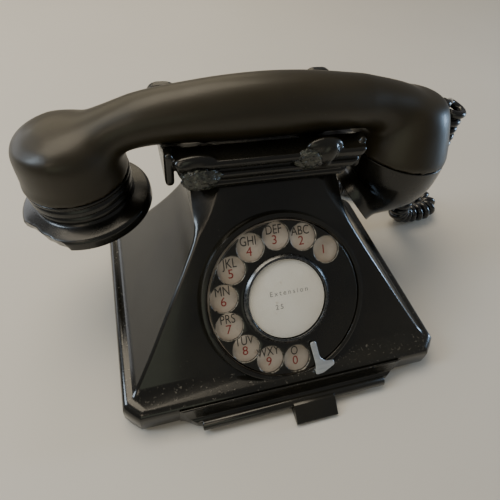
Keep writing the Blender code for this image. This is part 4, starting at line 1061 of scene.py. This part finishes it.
def ear_cap():
    """The flared cap, with a long chip broken out of its rim."""
    profile = rounded([(21.6, 20.9), (24.6, 20.9), (24.8, 19.6), (23.4, 18.4), (24.4, 17.2), (24.6, 14.8),
                       (22.9, 13.6), (23.9, 12.4), (24.0, 10.4), (22.6, 9.2), (23.8, 8.2), (30.6, 6.2),
                       (31.6, 5.2), (31.6, 0.8), (30.8, 0.0), (29.4, 0.0), (20.0, 3.2), (5.0, 4.6),
                       (5.0, 7.2), (21.0, 9.0)], 0.6)
    dense = []
    for i, (r, z) in enumerate(profile):
        after = profile[(i + 1) % len(profile)]
        pieces = max(1, round(math.dist((r, z), after) / 1.2))
        dense += [(r + (after[0] - r) * k / pieces, z + (after[1] - z) * k / pieces)
                  for k in range(pieces)]
    mesh = turned("ear_cap_turned", dense, 180)
    for v in mesh.vertices:
        reach = math.hypot(v.co.x, v.co.y) / MM
        turn = (math.atan2(v.co.y, v.co.x) - CHIP_AT + math.pi) % (2 * math.pi) - math.pi
        if reach > 24.0 and v.co.z < 8.0 * MM and abs(turn) < CHIP_REACH:
            kept = min(1.0, chip_limit(turn, v.co.z / MM) / reach)
            v.co.x *= kept
            v.co.y *= kept
    mesh.update()
    place = BODY_FRAME @ EAR_LOCAL
    piece("ear_cap_turned", mesh, BAKELITE_WORN, "handset", ["ear_cap"], place)


def horn_rings(shrink, overrun, flare):
    """The mouthpiece's circles, smaller by a wall, run past both ends and flared at the mouth."""
    rings = []
    between, sides = 8, 96
    count = between * (len(MOUTHPIECE) - 1)
    for k in range(count + 1):
        x, z, radius, tilt = curve_through(MOUTHPIECE, k / between)
        lean = math.radians(tilt)
        push = overrun if k == count else (-overrun if k == 0 else 0.0)
        reach = radius - shrink + (flare if k == count else 0.0)
        out = Vector((-math.sin(lean), 0.0, -math.cos(lean)))
        side = Vector((math.cos(lean), 0.0, -math.sin(lean)))
        centre = Vector((x, HANDSET_Y, z)) * MM + out * push * MM
        turns = [2 * math.pi * j / sides for j in range(sides)]
        rings.append([centre + (side * math.cos(a) + Vector((0.0, math.sin(a), 0.0))) * reach * MM
                      for a in turns])
    return rings


def mouthpiece():
    outer = loft("mouthpiece_outer", horn_rings(0.0, 0.0, 0.0), 40.0)
    bore = loft("mouthpiece_bore", horn_rings(2.4, 2.0, 0.3), 40.0)
    mesh = shaped("mouthpiece_horn", outer, ("DIFFERENCE", bore, None), bevel=0.7 * MM, angle=50.0)
    piece("mouthpiece_horn", mesh, BAKELITE_WORN, "handset", ["mouthpiece"])


def sleeves():
    """The handset's ribbed sleeve and the two glands in the back of the case."""
    ribbed = [(2.5, 6.9), (3.6, 7.0), (4.2, 6.4), (4.0, 5.6), (4.5, 5.2), (4.3, 4.4), (4.8, 4.0), (4.6, 3.2),
              (5.1, 2.6), (5.2, 0.9), (5.2, 0.3), (3.9, 0.3), (3.9, -2.6), (2.5, -2.6)]
    mesh = turned("cord_sleeve", rounded(ribbed, 0.3, 2), 48)
    place = BODY_FRAME @ SLEEVE_LOCAL
    piece("cord_sleeve", mesh, RUBBER, "handset", ["handset_cord_sleeve"], place)
    ribbed = [(2.5, 7.0), (3.6, 7.0), (4.0, 6.6), (4.2, 5.4), (4.0, 5.0), (4.5, 4.0), (4.3, 3.6), (5.0, 2.4),
              (5.4, 0.9), (5.4, 0.3), (3.6, 0.3), (3.6, -3.3), (4.3, -3.3), (4.3, -4.4), (2.5, -4.4)]
    for name, side in (("handset_cord_gland", 1), ("line_cord_gland", -1)):
        place = BODY_FRAME @ moved(side * GLAND_X, SKIRT_BACK, GLAND_Z) @ spun(-90.0, "X")
        mesh = turned("moulded_" + name, rounded(ribbed, 0.3, 2), 48)
        piece("moulded_" + name, mesh, RUBBER, BASE, [name], place)


# ---- drawer and plungers

def ogee(start, end):
    """The curved end of the drawer front in plan, from X start to X end."""
    points = []
    for k in range(25):
        t = k / 24
        rise = 0.5 - 0.5 * math.cos(math.pi * t)
        rise = rise if end < 0 else 1.0 - rise
        points.append((start + (end - start) * t, -57.6 - 4.8 * rise))
    return points + [(-50.6, -66.0)] if end < 0 else [(50.6, -66.0)] + points


# A side outline stood up: its X becomes Y, its Y becomes Z and its thickness lies along X.
LENGTHWAYS = spun(90.0, "Z") @ spun(90.0, "X")


def drawer():
    """The moulded front with its bead, and the pull under it."""
    rear = SKIRT_FRONT - 0.3
    top, lip = 14.6, 0.8
    bead_y, bead_z = -62.6, 4.4
    side = [(rear, 2.4), (rear, top), (rear - lip, top - 0.1)]
    for k in range(18):
        turn = (k + 1) / 18 * math.pi / 2
        side.append((rear - lip - 3.6 * (1 - math.cos(turn)), top - 7.8 * math.sin(turn)))
    side += [(bead_y, 5.4), (bead_y, 2.4)]
    front = outline_solid("drawer_moulding", side, 130.0)
    front.transform(LENGTHWAYS)
    plan = [(-61.0, -57.0)] + ogee(-61.0, -50.6) + ogee(50.6, 61.0)
    trim = outline_solid("plan", plan + [(61.0, -57.0), (61.0, -50.0), (-61.0, -50.0)], 40.0)
    bead = solid("bead", [(2.5, -50.6), (2.8, -50.2), (2.8, 50.2), (2.5, 50.6)], 48)
    along = moved(0.0, bead_y, bead_z) @ spun(90.0, "Y")
    mesh = shaped("drawer_moulding", front, ("INTERSECT", trim, moved(0.0, 0.0, 8.0)),
                  ("UNION", bead, along), bevel=0.35 * MM, angle=50.0)
    piece("drawer_moulding", mesh, BAKELITE_CASE, "drawer", ["drawer_front"])
    tab = [(-62.4, 7.0), (-65.6, 7.4), (-73.4, 2.4), (-73.4, 1.0), (-65.0, 1.0), (-65.6, 1.6), (-62.4, 1.5)]
    wedge = outline_solid("wedge", tab, 23.0)
    wedge.transform(moved(8.0, 0.0, 0.0) @ LENGTHWAYS)
    seat = solid("seat", [(3.1, -60.0), (3.1, 60.0)], 48)
    mesh = shaped("drawer_pull", wedge, ("DIFFERENCE", seat, along),
                  ("DIFFERENCE", box("tab_back", (-60.0, -63.5, 0.0), (60.0, -50.0, 4.4)), None),
                  bevel=0.45 * MM, angle=30.0)
    piece("drawer_pull", mesh, BAKELITE_CASE, "drawer", ["drawer_tab"])


def plungers():
    profile = [(0.0, 99.2), (1.2, 99.15), (2.2, 98.9), (2.8, 98.3), (3.0, 97.6), (3.0, 76.4), (4.2, 76.2),
               (4.2, 75.0), (0.0, 75.0)]
    for name, side in (("left", -1), ("right", 1)):
        mesh = turned("plunger_pin_" + name, profile, 40)
        mesh.transform(moved(side * PLUNGER_X, HANDSET_Y, 0.0))
        piece("plunger_pin_" + name, mesh, BAKELITE_CASE, name + "_plunger", ["plunger_" + name])


# ---- build

camera()
lights()
floor()
paint_nodes()
cord()
body_case()
cradle()
finger_plate()
dial_label()
dial_figures()
finger_stop()
handset_body()
ear_cap()
mouthpiece()
sleeves()
drawer()
plungers()
